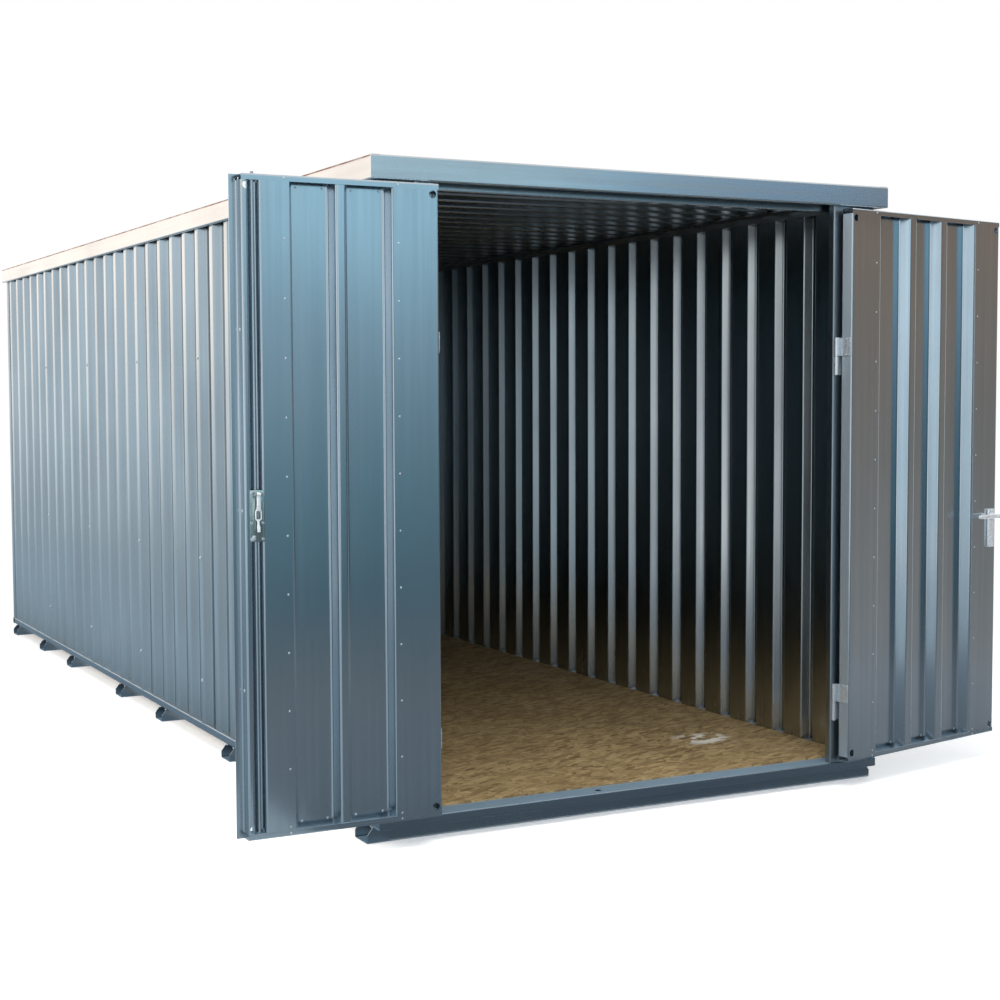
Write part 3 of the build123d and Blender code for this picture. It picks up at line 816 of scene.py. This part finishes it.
@dataclass
class Shell:
    """Walls, roof, posts and rails of the container, with their fasteners."""

    finishes: Finishes
    pitch: float = 0.195
    ribs: int = 30
    ribs_per_panel: int = 5
    flat_face: float = 1.027
    lap_margin: float = 0.013
    lap_lift: float = 0.0022
    screw_heights: tuple[float, ...] = (0.28, 0.82, 1.69)

    def panels(self, start: float, end: float, foot: float) -> list[tuple[float, float, list[float]]]:
        """Panels along the body.

        Args:
            start: Place of the first edge, from the front plane.
            end: Place of the last edge.
            foot: Width of a rib at its foot.

        Returns:
            Start, end and rib places of each panel.
        """
        step = self.pitch * self.ribs_per_panel
        numbers = range(1, self.ribs // self.ribs_per_panel)
        edges = [start, *(number * step - foot / 2 - self.lap_margin for number in numbers), end]
        ribs = [number * self.pitch for number in range(1, self.ribs + 1)]
        return [(low, high, [rib for rib in ribs if low < rib < high]) for low, high in zip(edges, edges[1:])]

    def build_side(self, side: str, hand: int) -> None:
        """Builds one long wall with its laps and screws.

        Args:
            side: Name of the side.
            hand: Sign of its X.
        """
        low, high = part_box(f"{side}_wall")
        outward = Vector((hand, 0, 0))
        origin = Vector((hand * self.flat_face, FRONT, low.z))
        sheet = ProfiledSheet(origin, Y_AXIS, outward, Z_AXIS, high.z - low.z)
        mesh = PieceMesh(f"{side}_wall_sheet")
        runs = self.panels(low.y - FRONT, high.y - FRONT, sheet.foot)
        for index, (start, end, middles) in enumerate(runs):
            lap = self.lap_lift if index else 0.0
            corners = sheet.section(start, end, middles, lap)
            if index < len(runs) - 1:
                under = runs[index + 1][2][0]
                corners = corners[:-1] + [
                    (under - sheet.foot / 2, 0.0),
                    (under - sheet.crown / 2, sheet.depth),
                    (under + sheet.crown / 2, sheet.depth),
                ]
            sheet.sweep(mesh, corners, -1.0)
        piece = mesh.finish(self.finishes.wall, Body.CONTAINER, Slot.SHEET)
        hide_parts(f"{side}_wall")
        screws = PieceMesh(f"{side}_wall_screws")
        face = hand * (self.flat_face + sheet.depth + self.lap_lift)
        for _, _, middles in runs[1:]:
            for height in self.screw_heights:
                add_screw(screws, Vector((face, FRONT + middles[0], height)), outward)
        screws.finish(self.finishes.hinge_zinc, Body.CONTAINER, Slot.ZINC)

    def build_rear(self) -> None:
        """Builds the rear wall."""
        low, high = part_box("rear_wall")
        origin = Vector((0, high.y - ProfiledSheet.depth, low.z))
        sheet = ProfiledSheet(origin, X_AXIS, Y_AXIS, Z_AXIS, high.z - low.z)
        mesh = PieceMesh("rear_wall_sheet")
        pitch = high.x / self.ribs_per_panel
        for start, end, first in ((low.x, 0.0, low.x + pitch / 2), (0.0, high.x, pitch / 2)):
            middles = [first + number * pitch for number in range(self.ribs_per_panel)]
            sheet.sweep(mesh, sheet.section(start, end, middles), -1.0)
        piece = mesh.finish(self.finishes.wall, Body.CONTAINER, Slot.SHEET)
        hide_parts("rear_wall")

    def build_roof(self) -> None:
        """Builds the roof sheet, whose ribs run across the body."""
        low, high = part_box("roof")
        origin = Vector((low.x, FRONT, low.z + ProfiledSheet.thickness))
        sheet = ProfiledSheet(origin, Y_AXIS, Z_AXIS, X_AXIS, high.x - low.x)
        mesh = PieceMesh("roof_sheet")
        for start, end, middles in self.panels(low.y - FRONT, high.y - FRONT, sheet.foot):
            sheet.sweep(mesh, sheet.section(start, end, middles), -1.0)
        piece = mesh.finish(self.finishes.roof, Body.CONTAINER, Slot.SHEET)
        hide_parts("roof")

    def dress_frame(self) -> None:
        """Gives the folded sections their finish, with the grain along each."""
        done = self.finishes
        rules = (
            (("floor",), done.board),
            (("hinges",), done.hinge_zinc),
            (("rod",), done.leaf),
            (("base_rail",), done.base_long),
            (("sill",), done.sill),
            (("skid",), done.base_cross),
            (("leaf_bottom_rail", "leaf_top_rail"), done.leaf_rail),
            (("right_leaf_hinge_profile", "right_leaf_lock_profile"), done.stile),
            (("leaf_hinge_profile", "leaf_lock_profile"), done.leaf),
            (("front_fascia", "rear_fascia", "header", "rear_top_rail"), done.crosswise),
            (("fascia", "top_rail"), done.lengthwise),
            (("",), done.upright),
        )
        for name, node in frame["nodes"].items():
            material = next(finish for words, finish in rules if any(word in name for word in words))
            node.data.materials.clear()
            node.data.materials.append(material)


@dataclass
class Leaf:
    """One door leaf: its profiled sheet, rivets and hinge straps."""

    finishes: Finishes
    side: str
    hand: int
    body: Body
    swing: float
    width: float
    pans: tuple[Point2, ...]
    pan_run: float
    edge_rivets: tuple[float, ...] = ()
    hinge_flat: float = 0.165
    lock_flat: float = 0.160
    overlap: float = 0.040
    pan_depth: float = 0.042
    pan_bow: float = 0.0014
    rail: float = 0.020
    edge_to_axis: float = 0.016
    face_to_axis: float = 0.061
    fold: float = 0.003
    first_rivet: float = 2.031
    rivet_pitch: float = 0.190
    rivet_count: int = 11
    rivet_inset: float = 0.018
    rail_rivet_inset: float = 0.010
    pan_rivet_inset: Point2 = (0.020, 0.013)
    pan_rivet: float = 0.0045
    edge_rivet: float = 0.0055
    edge_rivet_depth: float = 0.030
    hinge_feet: Point2 = (0.334, 1.672)
    strap_height: float = 0.070
    strap_width: float = 0.043
    strap_thickness: float = 0.0022
    strap_depth: float = 0.0245
    strap_rivet: float = 0.0042
    strap_rivets: tuple[Point3, ...] = ((0.010, 0.005, 0.0022), (0.026, 0.005, 0.003), (0.006, 0.018, 0.0022))

    def __post_init__(self) -> None:
        """Works out the leaf's own directions and heights in the rest pose."""
        for joint in frame["record"]["behaviour"]["joints"]:
            if joint["name"] == f"{self.side}_leaf_hinge":
                self.axis = Vector(joint["pos_m"])
        turn = math.radians(self.swing)
        self.along = Vector((self.hand * math.cos(turn), math.sin(turn), 0))
        self.across = Vector((-self.hand * math.sin(turn), math.cos(turn), 0))
        self.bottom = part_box(f"{self.side}_leaf_bottom_rail")[0].z
        self.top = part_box(f"{self.side}_leaf_top_rail")[1].z
        self.lock_edge = self.width - self.lock_flat

    def point(self, from_hinge: float, depth: float, height: float) -> Vector:
        """A point of the leaf in the row frame.

        Args:
            from_hinge: Distance from the hinge edge.
            depth: Distance from the inner face towards the outer face.
            height: Height above the ground.

        Returns:
            The point.
        """
        spot = self.axis + self.along * (self.edge_to_axis + from_hinge)
        spot = spot - self.across * (self.face_to_axis - depth)
        return Vector((spot.x, spot.y, height))

    def spot(self, from_hinge: float, depth: float, height: float) -> Matrix:
        """Frame at a point of the leaf, with X from the hinge edge, Y towards the outer face and Z up."""
        turn = Matrix((self.along, self.across, Z_AXIS)).transposed().to_4x4()
        return Matrix.Translation(self.point(from_hinge, depth, height)) @ turn

    def build_sheet(self) -> None:
        """Builds the profiled sheet between the edge profiles, with its wide pans and narrow crowns."""
        low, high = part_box(f"{self.side}_leaf_sheet")
        origin = self.point(0.0, self.fold, low.z)
        sheet = ProfiledSheet(origin, self.along, self.across, Z_AXIS, high.z - low.z, bend=0.010, wave=0.001)
        corners = [(self.hinge_flat - self.overlap, 0.0)]
        for first, last in self.pans:
            corners.append((first, 0.0))
            low_edge, high_edge = first + self.pan_run, last - self.pan_run
            for step in range(9):
                bow = self.pan_bow * math.sin(math.pi * step / 8)
                corners.append((low_edge + (high_edge - low_edge) * step / 8, self.pan_depth - bow))
            corners.append((last, 0.0))
        corners.append((self.lock_edge + self.overlap, 0.0))
        mesh = PieceMesh(f"{self.side}_leaf_panel")
        sheet.sweep(mesh, corners, 1.0)
        piece = mesh.finish(self.finishes.leaf, self.body, Slot.SHEET)
        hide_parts(f"{self.side}_leaf_sheet")

    def build_rivets(self) -> None:
        """Builds the rivets of the edge profiles and rails, of the pans and of the free edge."""
        mesh = PieceMesh(f"{self.side}_leaf_rivets")
        face_out = -self.across
        for column in (self.hinge_flat - self.rivet_inset, self.lock_edge + self.rivet_inset):
            heights = [self.first_rivet - number * self.rivet_pitch for number in range(self.rivet_count)]
            heights += [self.bottom + self.rail_rivet_inset, self.top - self.rail_rivet_inset]
            for height in heights:
                add_rivet(mesh, self.point(column, 0.0, height), face_out)
        inset, rise = self.pan_rivet_inset
        for first, last in self.pans:
            for place in (first + self.pan_run + inset, last - self.pan_run - inset):
                for height in (self.bottom + self.rail + rise, self.top - self.rail - rise):
                    seat = self.point(place, self.fold + self.pan_depth, height)
                    add_rivet(mesh, seat, face_out, self.pan_rivet)
        for height in self.edge_rivets:
            seat = self.point(self.width, self.edge_rivet_depth, height)
            add_rivet(mesh, seat, self.along, self.edge_rivet)
        mesh.finish(self.finishes.hinge_zinc, self.body, Slot.ZINC)

    def build_straps(self) -> None:
        """Builds the hinge straps on the leaf's edge, each with its rivets."""
        mesh = PieceMesh(f"{self.side}_leaf_straps")
        size = (self.strap_thickness, self.strap_width, self.strap_height)
        for foot in self.hinge_feet:
            middle = foot + self.strap_height / 2
            mesh.block(self.spot(-self.strap_thickness / 2, self.strap_depth, middle), size, bevel=0.0008)
            for depth, rise, lift in self.strap_rivets:
                for height in (foot + rise, foot + self.strap_height - rise):
                    add_rivet(mesh, self.point(-lift, depth, height), -self.along, self.strap_rivet)
        mesh.finish(self.finishes.hinge_zinc, self.body, Slot.ZINC)


@dataclass
class Latch:
    """Latch plate and lever over the rod channel of the passive leaf."""

    finishes: Finishes
    leaf: Leaf
    from_hinge: float = 0.64707
    middle: float = 1.149
    height: float = 0.166
    width: float = 0.050
    pivot_drop: float = 0.014
    pivot_out: float = 0.014
    thickness: float = 0.003
    lug_size: Point3 = (0.005, 0.021, 0.016)
    lug_place: Point2 = (0.0102, -0.0115)
    rib_size: Point3 = (0.0035, 0.005, 0.112)
    rib_place: Point3 = (0.0195, -0.0050, 0.012)
    pin_half: float = 0.0128
    pin_section: Line = ((0.0035, 0), (0.004, 0.001), (0.004, 0.0246), (0.0035, 0.0256))
    screw_place: float = 0.0185
    screw_rises: Point3 = (-0.074, -0.022, 0.074)
    screw_size: float = 0.0032
    stop_size: Point3 = (0.012, 0.008, 0.016)
    stop_place: Point3 = (0.013, -0.0060, 0.070)
    eye_half: float = 0.0068
    eye_section: Line = ((0.0065, 0), (0.0075, 0.001), (0.0075, 0.0126), (0.0065, 0.0136))
    bar_line: Line = ((0.000, 0.0), (0.012, 0.002), (0.026, 0.0035), (0.040, 0.003), (0.050, 0.001))
    bar_sizes: Line = ((0.012, 0.007), (0.012, 0.006), (0.012, 0.005), (0.013, 0.005), (0.015, 0.005))
    ring_corners: Line = ((0.0075, 0.050), (0.0090, 0.055), (0.0090, 0.076), (0.0070, 0.081))
    ring_wire: Point2 = (0.0045, 0.0055)
    tail_line: Line = ((0.080, 0.0), (0.092, -0.001), (0.106, 0.001), (0.120, 0.003))
    tail_sizes: Line = ((0.009, 0.005), (0.008, 0.005), (0.011, 0.006), (0.009, 0.0045))

    def __post_init__(self) -> None:
        """Works out the height of the lever's pin."""
        self.pivot = self.middle + self.height / 2 - self.pivot_drop

    def build_plate(self) -> None:
        """Builds the plate with its lugs, pin and screws."""
        leaf = self.leaf
        mesh = PieceMesh("latch_plate_body")
        plate_size = (self.width, self.thickness, self.height)
        mesh.block(leaf.spot(self.from_hinge, -self.thickness / 2, self.middle), plate_size, bevel=0.0012)
        off, depth, drop = self.rib_place
        for side in (-1, 1):
            lug = leaf.spot(self.from_hinge + side * self.lug_place[0], self.lug_place[1], self.pivot)
            mesh.block(lug, self.lug_size, bevel=0.002, segments=3)
            rib = leaf.spot(self.from_hinge + side * off, depth, self.middle - drop)
            mesh.block(rib, self.rib_size, bevel=0.0014)
        plate = mesh.finish(self.finishes.green_zinc, leaf.body, Slot.ZINC)
        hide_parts("latch_plate")
        bright = PieceMesh("latch_plate_fixings")
        places = [self.from_hinge + side * self.pin_half for side in (-1, 1)]
        ends = [leaf.point(place, -self.pivot_out, self.pivot) for place in places]
        bright.turned(aimed(ends[0], (ends[1] - ends[0]).normalized()), self.pin_section)
        for side in (-1, 1):
            place = self.from_hinge + side * self.screw_place
            for rise in self.screw_rises:
                seat = leaf.point(place, -self.thickness, self.middle + rise)
                add_screw(bright, seat, -leaf.across, self.screw_size)
        off, depth, drop = self.stop_place
        stop = leaf.spot(self.from_hinge + off, depth, self.middle - drop)
        bright.block(stop, self.stop_size, bevel=0.003, segments=3)
        bright.finish(self.finishes.hinge_zinc, leaf.body, Slot.ZINC)

    def build_lever(self) -> None:
        """Builds the lever: an eye on the pin, a bowed bar, a square ring and a short tail."""
        leaf = self.leaf
        mesh = PieceMesh("latch_lever_bar")
        start = leaf.point(self.from_hinge - self.eye_half, -self.pivot_out, self.pivot)
        mesh.turned(aimed(start, leaf.along), self.eye_section, segments=20)
        self.add_bar(mesh, self.bar_line, self.bar_sizes)
        ring = [*self.ring_corners, *((-side, drop) for side, drop in reversed(self.ring_corners))]
        wire = [leaf.point(self.from_hinge + side, -self.pivot_out, self.pivot - drop) for side, drop in ring]
        mesh.loop(wire, leaf.across, self.ring_wire)
        self.add_bar(mesh, self.tail_line, self.tail_sizes)
        lever = mesh.finish(self.finishes.zinc, Body.LATCH_LEVER, Slot.ZINC)
        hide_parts("latch_lever")

    def add_bar(self, mesh: PieceMesh, line: Line, sizes: Line) -> None:
        """Adds a piece of the lever's bar.

        Args:
            mesh: Mesh to add it to.
            line: Drop below the pin and bow away from the leaf at each point.
            sizes: Width and thickness at each point.
        """
        leaf = self.leaf
        points = [leaf.point(self.from_hinge, -self.pivot_out - bow, self.pivot - drop) for drop, bow in line]
        mesh.bar(points, leaf.along, sizes)


@dataclass
class Lock:
    """Lock cases, cylinders and lever handles of the active leaf."""

    finishes: Finishes
    leaf: Leaf
    from_hinge: float = 0.9019
    spindle: float = 1.017
    case_top: float = 1.046
    case_height: float = 0.159
    case_width: float = 0.038
    case_depth: float = 0.012
    cylinder_drop: float = 0.092
    thickness: float = 0.050
    reach: float = 0.052
    seat_section: Line = ((0.0085, -0.002), (0.0085, 0.0022), (0.0075, 0.003))
    barrel_size: Point3 = (0.010, 0.005, 0.020)
    barrel_place: Point2 = (0.0005, 0.014)
    slot_size: Point3 = (0.0018, 0.0012, 0.0095)
    slot_out: float = 0.0026
    rivet_inset: float = 0.010
    rivet_size: float = 0.0045
    spindle_radius: float = 0.005
    rose_gap: float = 0.0006
    grip_line: Line = (
        (0.004, 0.0095), (-0.012, 0.0095), (-0.030, 0.0095), (-0.060, 0.0105), (-0.090, 0.0125),
        (-0.108, 0.0165), (-0.1165, 0.0215),
    )
    grip_sizes: Line = (
        (0.014, 0.011), (0.0175, 0.012), (0.0175, 0.010), (0.017, 0.009), (0.016, 0.0085), (0.015, 0.008),
        (0.012, 0.006),
    )

    def faces(self) -> Line:
        """Depth of each face of the leaf and the sign of the way out of it."""
        return ((0.0, -1.0), (self.thickness, 1.0))

    def build_cases(self) -> None:
        """Builds the case on each face, with its screws and the cylinder with its key slot."""
        leaf = self.leaf
        mesh = PieceMesh("lock_cases")
        slots = PieceMesh("lock_key_slot_shade")
        middle = self.case_top - self.case_height / 2
        for face, out in self.faces():
            normal = leaf.across * out
            place = leaf.spot(self.from_hinge, face + out * self.case_depth / 2, middle)
            case_size = (self.case_width, self.case_depth, self.case_height)
            mesh.block(place, case_size, bevel=0.0035, segments=3)
            front = face + out * self.case_depth
            level = self.spindle - self.cylinder_drop
            seat = leaf.point(self.from_hinge, front, level)
            mesh.turned(aimed(seat, normal), self.seat_section, segments=24)
            lift, drop = self.barrel_place
            barrel = leaf.spot(self.from_hinge, front + out * lift, level - drop)
            mesh.block(barrel, self.barrel_size, bevel=0.002, segments=3)
            # Painted shade: the key slot is a near-black block on the cylinder's face, standing in for the
            # shaded keyway.
            key_slot = leaf.spot(self.from_hinge, front + out * self.slot_out, level)
            slots.block(key_slot, self.slot_size, bevel=0.0003)
            bottom = self.case_top - self.case_height
            for height in (self.case_top - self.rivet_inset, bottom + self.rivet_inset):
                add_rivet(mesh, leaf.point(self.from_hinge, front, height), normal, self.rivet_size)
        cases = mesh.finish(self.finishes.zinc, leaf.body, Slot.ZINC)
        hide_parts("lock_plates")
        slots.finish(self.finishes.slot, leaf.body, None)

    def build_handle(self) -> None:
        """Builds both levers on one spindle, each with a rose and a flattened, gently bent grip."""
        leaf = self.leaf
        mesh = PieceMesh("lever_handle")
        start = leaf.point(self.from_hinge, -self.case_depth, self.spindle)
        length = self.thickness + 2 * self.case_depth
        spindle = [(self.spindle_radius, 0), (self.spindle_radius, length)]
        mesh.turned(aimed(start, leaf.across), spindle, segments=12)
        neck = self.reach - self.case_depth - self.rose_gap
        section = [(0.0145, 0), (0.0145, 0.003), (0.0125, 0.005), (0.0085, 0.0065), (0.0080, 0.5 * neck),
                   (0.0088, neck - 0.004), (0.0070, neck)]
        for face, out in self.faces():
            rose = leaf.point(self.from_hinge, face + out * (self.case_depth + self.rose_gap), self.spindle)
            mesh.turned(aimed(rose, leaf.across * out), section, segments=24)
            points = [leaf.point(self.from_hinge + run, face + out * (self.reach - back), self.spindle)
                      for run, back in self.grip_line]
            mesh.bar(points, Z_AXIS, self.grip_sizes)
        handle = mesh.finish(self.finishes.zinc, Body.HANDLE, Slot.ZINC)
        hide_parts("handle")


def flat_piece(name: str, corners: Sequence[Point3], material: Material) -> bpy.types.Object:
    """Makes a flat piece of the studio.

    Args:
        name: Name of the piece.
        corners: Its four corners.
        material: Its finish.

    Returns:
        The new object.
    """
    mesh = bpy.data.meshes.new(name)
    mesh.from_pydata(corners, [], [(0, 1, 2, 3)])
    mesh.materials.append(material)
    return linked(name, mesh)


@dataclass(frozen=True)
class Card:
    """A matt card that only shows in the metal, as a studio flag does."""

    name: str
    corners: tuple[Point3, ...]
    axis: int
    stops: Stops
    strength: float = 1.0

    def build(self) -> None:
        """Builds the card, with its corners measured from the front plane."""
        graph = Graph(self.name)
        place = graph.node("ShaderNodeTexCoord").outputs["Generated"]
        share = graph.node("ShaderNodeSeparateXYZ", {0: place}).outputs[self.axis]
        colour = graph.ramp(share, self.stops)
        graph.end(graph.node("ShaderNodeEmission", {"Color": colour, "Strength": self.strength}))
        card = flat_piece(self.name, [(x, FRONT + y, z) for x, y, z in self.corners], graph.owner)
        card.visible_camera = False
        card.visible_diffuse = False
        card.visible_shadow = False
        card.visible_transmission = False


def upright_card(
    name: str, start: Point2, end: Point2, heights: Point2, stops: Stops, strength: float = 1.0
) -> Card:
    """An upright card whose colour runs from its foot to its top.

    Args:
        name: Name of the card.
        start: X and distance from the front plane of one foot.
        end: The same of the other foot.
        heights: Heights of its foot and top.
        stops: Colours from the foot up.
        strength: Strength of its glow.

    Returns:
        The card.
    """
    low, high = heights
    corners = ((*start, low), (*end, low), (*end, high), (*start, high))
    return Card(name, corners, 2, stops, strength)


def ground_card(name: str, low: Point2, high: Point2, axis: int, stops: Stops, level: float = 0.003) -> Card:
    """A card lying just above the studio floor.

    Args:
        name: Name of the card.
        low: Lowest X and distance from the front plane.
        high: Highest of both.
        axis: Axis that the colour runs along.
        stops: Colours along the axis.
        level: Height above the floor.

    Returns:
        The card.
    """
    places = (low, (high[0], low[1]), high, (low[0], high[1]))
    return Card(name, tuple((*place, level) for place in places), axis, stops)


@dataclass
class Studio:
    """Floor, light and camera, all outside the object."""

    lens: float = 61.585
    sensor: float = 36.0
    shift: Point2 = (-0.0001, -0.0049)
    place: Point3 = (-3.3247, -5.2597, 1.5470)
    yaw: float = 27.380
    pitch: float = 3.516
    roll: float = 0.218
    clip_end: float = 200.0
    soft_light: Colour = (0.93, 0.96, 1.0)
    soft_strength: float = 0.55
    floor_reach: float = 90.0
    floor_glow: float = 0.34
    shadow_middle: Point2 = (0.0, 2.9)
    shadow_reach: Point2 = (3.0, 5.0)

    def build_camera(self) -> None:
        """Builds the camera at the photograph's viewing angle."""
        data = bpy.data.cameras.new("camera")
        data.sensor_width = self.sensor
        data.lens = self.lens
        data.shift_x, data.shift_y = self.shift
        data.clip_end = self.clip_end
        yaw, pitch, roll = (math.radians(angle) for angle in (self.yaw, self.pitch, self.roll))
        ahead = Vector((math.sin(yaw) * math.cos(pitch), math.cos(yaw) * math.cos(pitch), -math.sin(pitch)))
        right = Vector((math.cos(yaw), -math.sin(yaw), 0))
        down = ahead.cross(right)
        across = math.cos(roll) * right + math.sin(roll) * down
        below = -math.sin(roll) * right + math.cos(roll) * down
        turn = Matrix((across, -below, -ahead)).transposed().to_4x4()
        camera = linked("camera", data)
        camera.matrix_world = Matrix.Translation((self.place[0], FRONT + self.place[1], self.place[2])) @ turn
        bpy.context.scene.camera = camera

    def build_world(self) -> None:
        """Builds the white surround, with a softer level for the light it gives."""
        graph = Graph("surround", world=True)
        bpy.context.scene.world = graph.owner
        white = graph.node("ShaderNodeBackground", {"Color": (1, 1, 1, 1)})
        light = {"Color": (*self.soft_light, 1), "Strength": self.soft_strength}
        soft = graph.node("ShaderNodeBackground", light)
        inputs = {0: graph.seen(), 1: soft.outputs[0], 2: white.outputs[0]}
        graph.end(graph.node("ShaderNodeMixShader", inputs))

    def build_floor(self) -> None:
        """Builds the pale floor: it keeps the shadow near the object and goes over to white further out."""
        graph = Graph("studio floor")
        grain = graph.noise(graph.place(), 30.0, 2.0)
        colour = graph.mix(graph.span(grain, 0.3, 0.7), (0.86, 0.86, 0.86), (0.9, 0.9, 0.9))
        matt = graph.node("ShaderNodeBsdfDiffuse", {"Color": colour})
        seen = graph.seen()
        glow_strength = graph.sums("MULTIPLY", seen, self.floor_glow)
        glow = graph.node("ShaderNodeEmission", {"Color": (1, 1, 1, 1), "Strength": glow_strength})
        both = graph.node("ShaderNodeAddShader", {0: matt.outputs[0], 1: glow.outputs[0]})
        white = graph.node("ShaderNodeEmission", {"Color": (1, 1, 1, 1), "Strength": 1.0})
        gone = graph.away((self.shadow_middle[0], FRONT + self.shadow_middle[1]), self.shadow_reach)
        far = graph.sums("MULTIPLY", graph.span(gone, 0.8, 2.2), seen)
        inputs = {0: far, 1: both.outputs[0], 2: white.outputs[0]}
        graph.end(graph.node("ShaderNodeMixShader", inputs))
        reach = self.floor_reach
        corners = [(-reach, -reach, 0), (reach, -reach, 0), (reach, reach, 0), (-reach, reach, 0)]
        ground = flat_piece("studio_floor", corners, graph.owner)

    def build_cards(self) -> None:
        """Builds the cards that the metal mirrors: blue front, brown right, bright left and dim yard."""
        blue = ((0.0, (0.10, 0.18, 0.22)), (0.15, (0.13, 0.25, 0.31)), (0.33, (0.25, 0.37, 0.44)),
                (0.51, (0.33, 0.50, 0.60)), (0.69, (0.51, 0.80, 0.94)), (1.0, (0.56, 0.84, 0.98)))
        dusk = ((0.0, (0.04, 0.07, 0.09)), (0.5, (0.06, 0.10, 0.13)), (0.70, (0.10, 0.15, 0.19)),
                (0.77, (0.20, 0.44, 0.70)), (1.0, (0.24, 0.49, 0.78)))
        brown = ((0.0, (0.29, 0.29, 0.29)), (0.35, (0.26, 0.235, 0.215)), (0.68, (0.30, 0.225, 0.18)),
                 (0.85, (0.17, 0.14, 0.12)), (1.0, (0.13, 0.11, 0.10)))
        steel = ((0.0, (0.42, 0.50, 0.55)), (0.35, (0.55, 0.64, 0.70)), (0.7, (0.64, 0.73, 0.78)),
                 (1.0, (0.75, 0.8, 0.82)))
        cream = ((0.0, (0.25, 0.31, 0.35)), (0.10, (0.40, 0.45, 0.49)), (0.25, (0.56, 0.57, 0.57)),
                 (0.42, (0.78, 0.71, 0.65)), (1.0, (0.80, 0.73, 0.68)))
        sky = ((0.0, (0.48, 0.60, 0.70)), (0.14, (0.72, 0.87, 0.97)), (0.5, (0.92, 1.06, 1.16)),
               (1.0, (0.95, 1.08, 1.18)))
        yard = ((0.0, (0.46, 0.59, 0.69)), (0.9, (0.46, 0.59, 0.69)), (1.0, (0.22, 0.30, 0.37)))
        near_yard = ((0.0, (0.44, 0.52, 0.58)), (1.0, (0.40, 0.48, 0.54)))
        right_yard = ((0.0, (0.25, 0.275, 0.305)), (1.0, (0.29, 0.30, 0.32)))
        front_yard = ((0.0, (0.09, 0.16, 0.20)), (0.25, (0.08, 0.15, 0.19)), (0.68, (0.18, 0.20, 0.22)),
                      (0.9, (0.17, 0.21, 0.25)), (1.0, (0.13, 0.16, 0.19)))
        shade = ((0.0, (0.05, 0.08, 0.10)), (1.0, (0.04, 0.06, 0.08)))
        cards = (
            upright_card("front card", (0.2, -8.0), (4.6, -8.0), (0.0, 4.4), blue),
            upright_card("right front card", (4.6, -8.0), (12.0, -8.0), (0.0, 4.4), dusk),
            upright_card("right card", (4.0, -3.0), (4.0, -0.1), (0.0, 3.6), brown),
            upright_card("front left card", (-6.0, -4.5), (-1.25, -3.0), (0.0, 3.4), steel),
            upright_card("left card", (-16.0, 10.0), (-2.0, 15.0), (0.0, 7.0), cream, 2.2),
            upright_card("far left card", (-16.0, -7.0), (-6.0, -4.5), (0.0, 6.0), sky),
            ground_card("left yard", (-12.0, 0.0), (-1.0, 14.0), 0, yard),
            ground_card("near left yard", (-12.0, -4.0), (-1.2, 0.0), 0, near_yard),
            ground_card("near right yard", (1.3, -2.6), (4.0, -0.1), 0, right_yard, 0.004),
            ground_card("front yard", (-1.2, -9.0), (4.0, 0.05), 1, front_yard),
            ground_card("right yard", (4.0, -9.0), (12.0, -0.1), 0, shade),
        )
        for card in cards:
            card.build()

    def build_lamp(
        self, name: str, place: Point3, target: Point3, size: Point2, power: float, colour: Colour
    ) -> None:
        """Builds a soft lamp.

        Args:
            name: Name of the lamp.
            place: Where it hangs, with Y from the front plane.
            target: Where it looks, with Y from the front plane.
            size: Width and height of its face.
            power: Power in watts.
            colour: Colour of its light.
        """
        data = bpy.data.lights.new(name, "AREA")
        data.shape = "RECTANGLE"
        data.size, data.size_y = size
        data.energy = power
        data.color = colour
        lamp = linked(name, data)
        lamp.location = Vector(place) + FRONT * Y_AXIS
        lamp.rotation_euler = (Vector(target) - Vector(place)).to_track_quat("-Z", "Y").to_euler()
        lamp.visible_glossy = False

    def build(self) -> None:
        """Builds the whole studio."""
        bpy.context.scene.view_settings.view_transform = "Standard"
        self.build_camera()
        self.build_world()
        self.build_floor()
        self.build_cards()
        self.build_lamp("left key", (-8.0, 1.0, 4.5), (0, 2.0, 1.0), (6, 5), 620, (1.0, 0.95, 0.88))
        self.build_lamp("overhead", (0.0, 1.0, 8.0), (0, 2.0, 0.0), (8, 8), 420, (1.0, 0.99, 0.97))
        self.build_lamp("front fill", (-2.0, -6.0, 3.4), (0, 1.0, 0.6), (4, 3), 110, (0.97, 0.98, 1.0))
        self.build_lamp("doorway fill", (-0.2, -1.0, 3.2), (0.1, 0.5, 0.1), (1.8, 1.2), 40, (1.0, 0.98, 0.94))


def main() -> None:
    """Builds the container's pieces in order, then the studio."""
    logging.basicConfig(level=logging.INFO, format="%(message)s")
    finishes = Finishes()
    shell = Shell(finishes)
    shell.dress_frame()
    shell.build_side("left", -1)
    shell.build_side("right", 1)
    shell.build_rear()
    shell.build_roof()
    left_pans = ((0.167, 0.331), (0.366, 0.522))
    right_pans = ((0.175, 0.357), (0.398, 0.555), (0.597, 0.775))
    left = Leaf(
        finishes, "left", -1, Body.LEFT_LEAF, swing=0.0, width=0.68607, pans=left_pans, pan_run=0.013,
        edge_rivets=(2.216, 1.742, 1.164, 0.585),
    )
    right = Leaf(
        finishes, "right", 1, Body.RIGHT_LEAF, swing=12.0, width=0.9439, pans=right_pans, pan_run=0.018
    )
    for leaf in (left, right):
        leaf.build_sheet()
        leaf.build_rivets()
        leaf.build_straps()
    latch = Latch(finishes, left)
    latch.build_plate()
    latch.build_lever()
    lock = Lock(finishes, right)
    lock.build_cases()
    lock.build_handle()
    Studio().build()


if __name__ == "__main__":
    main()
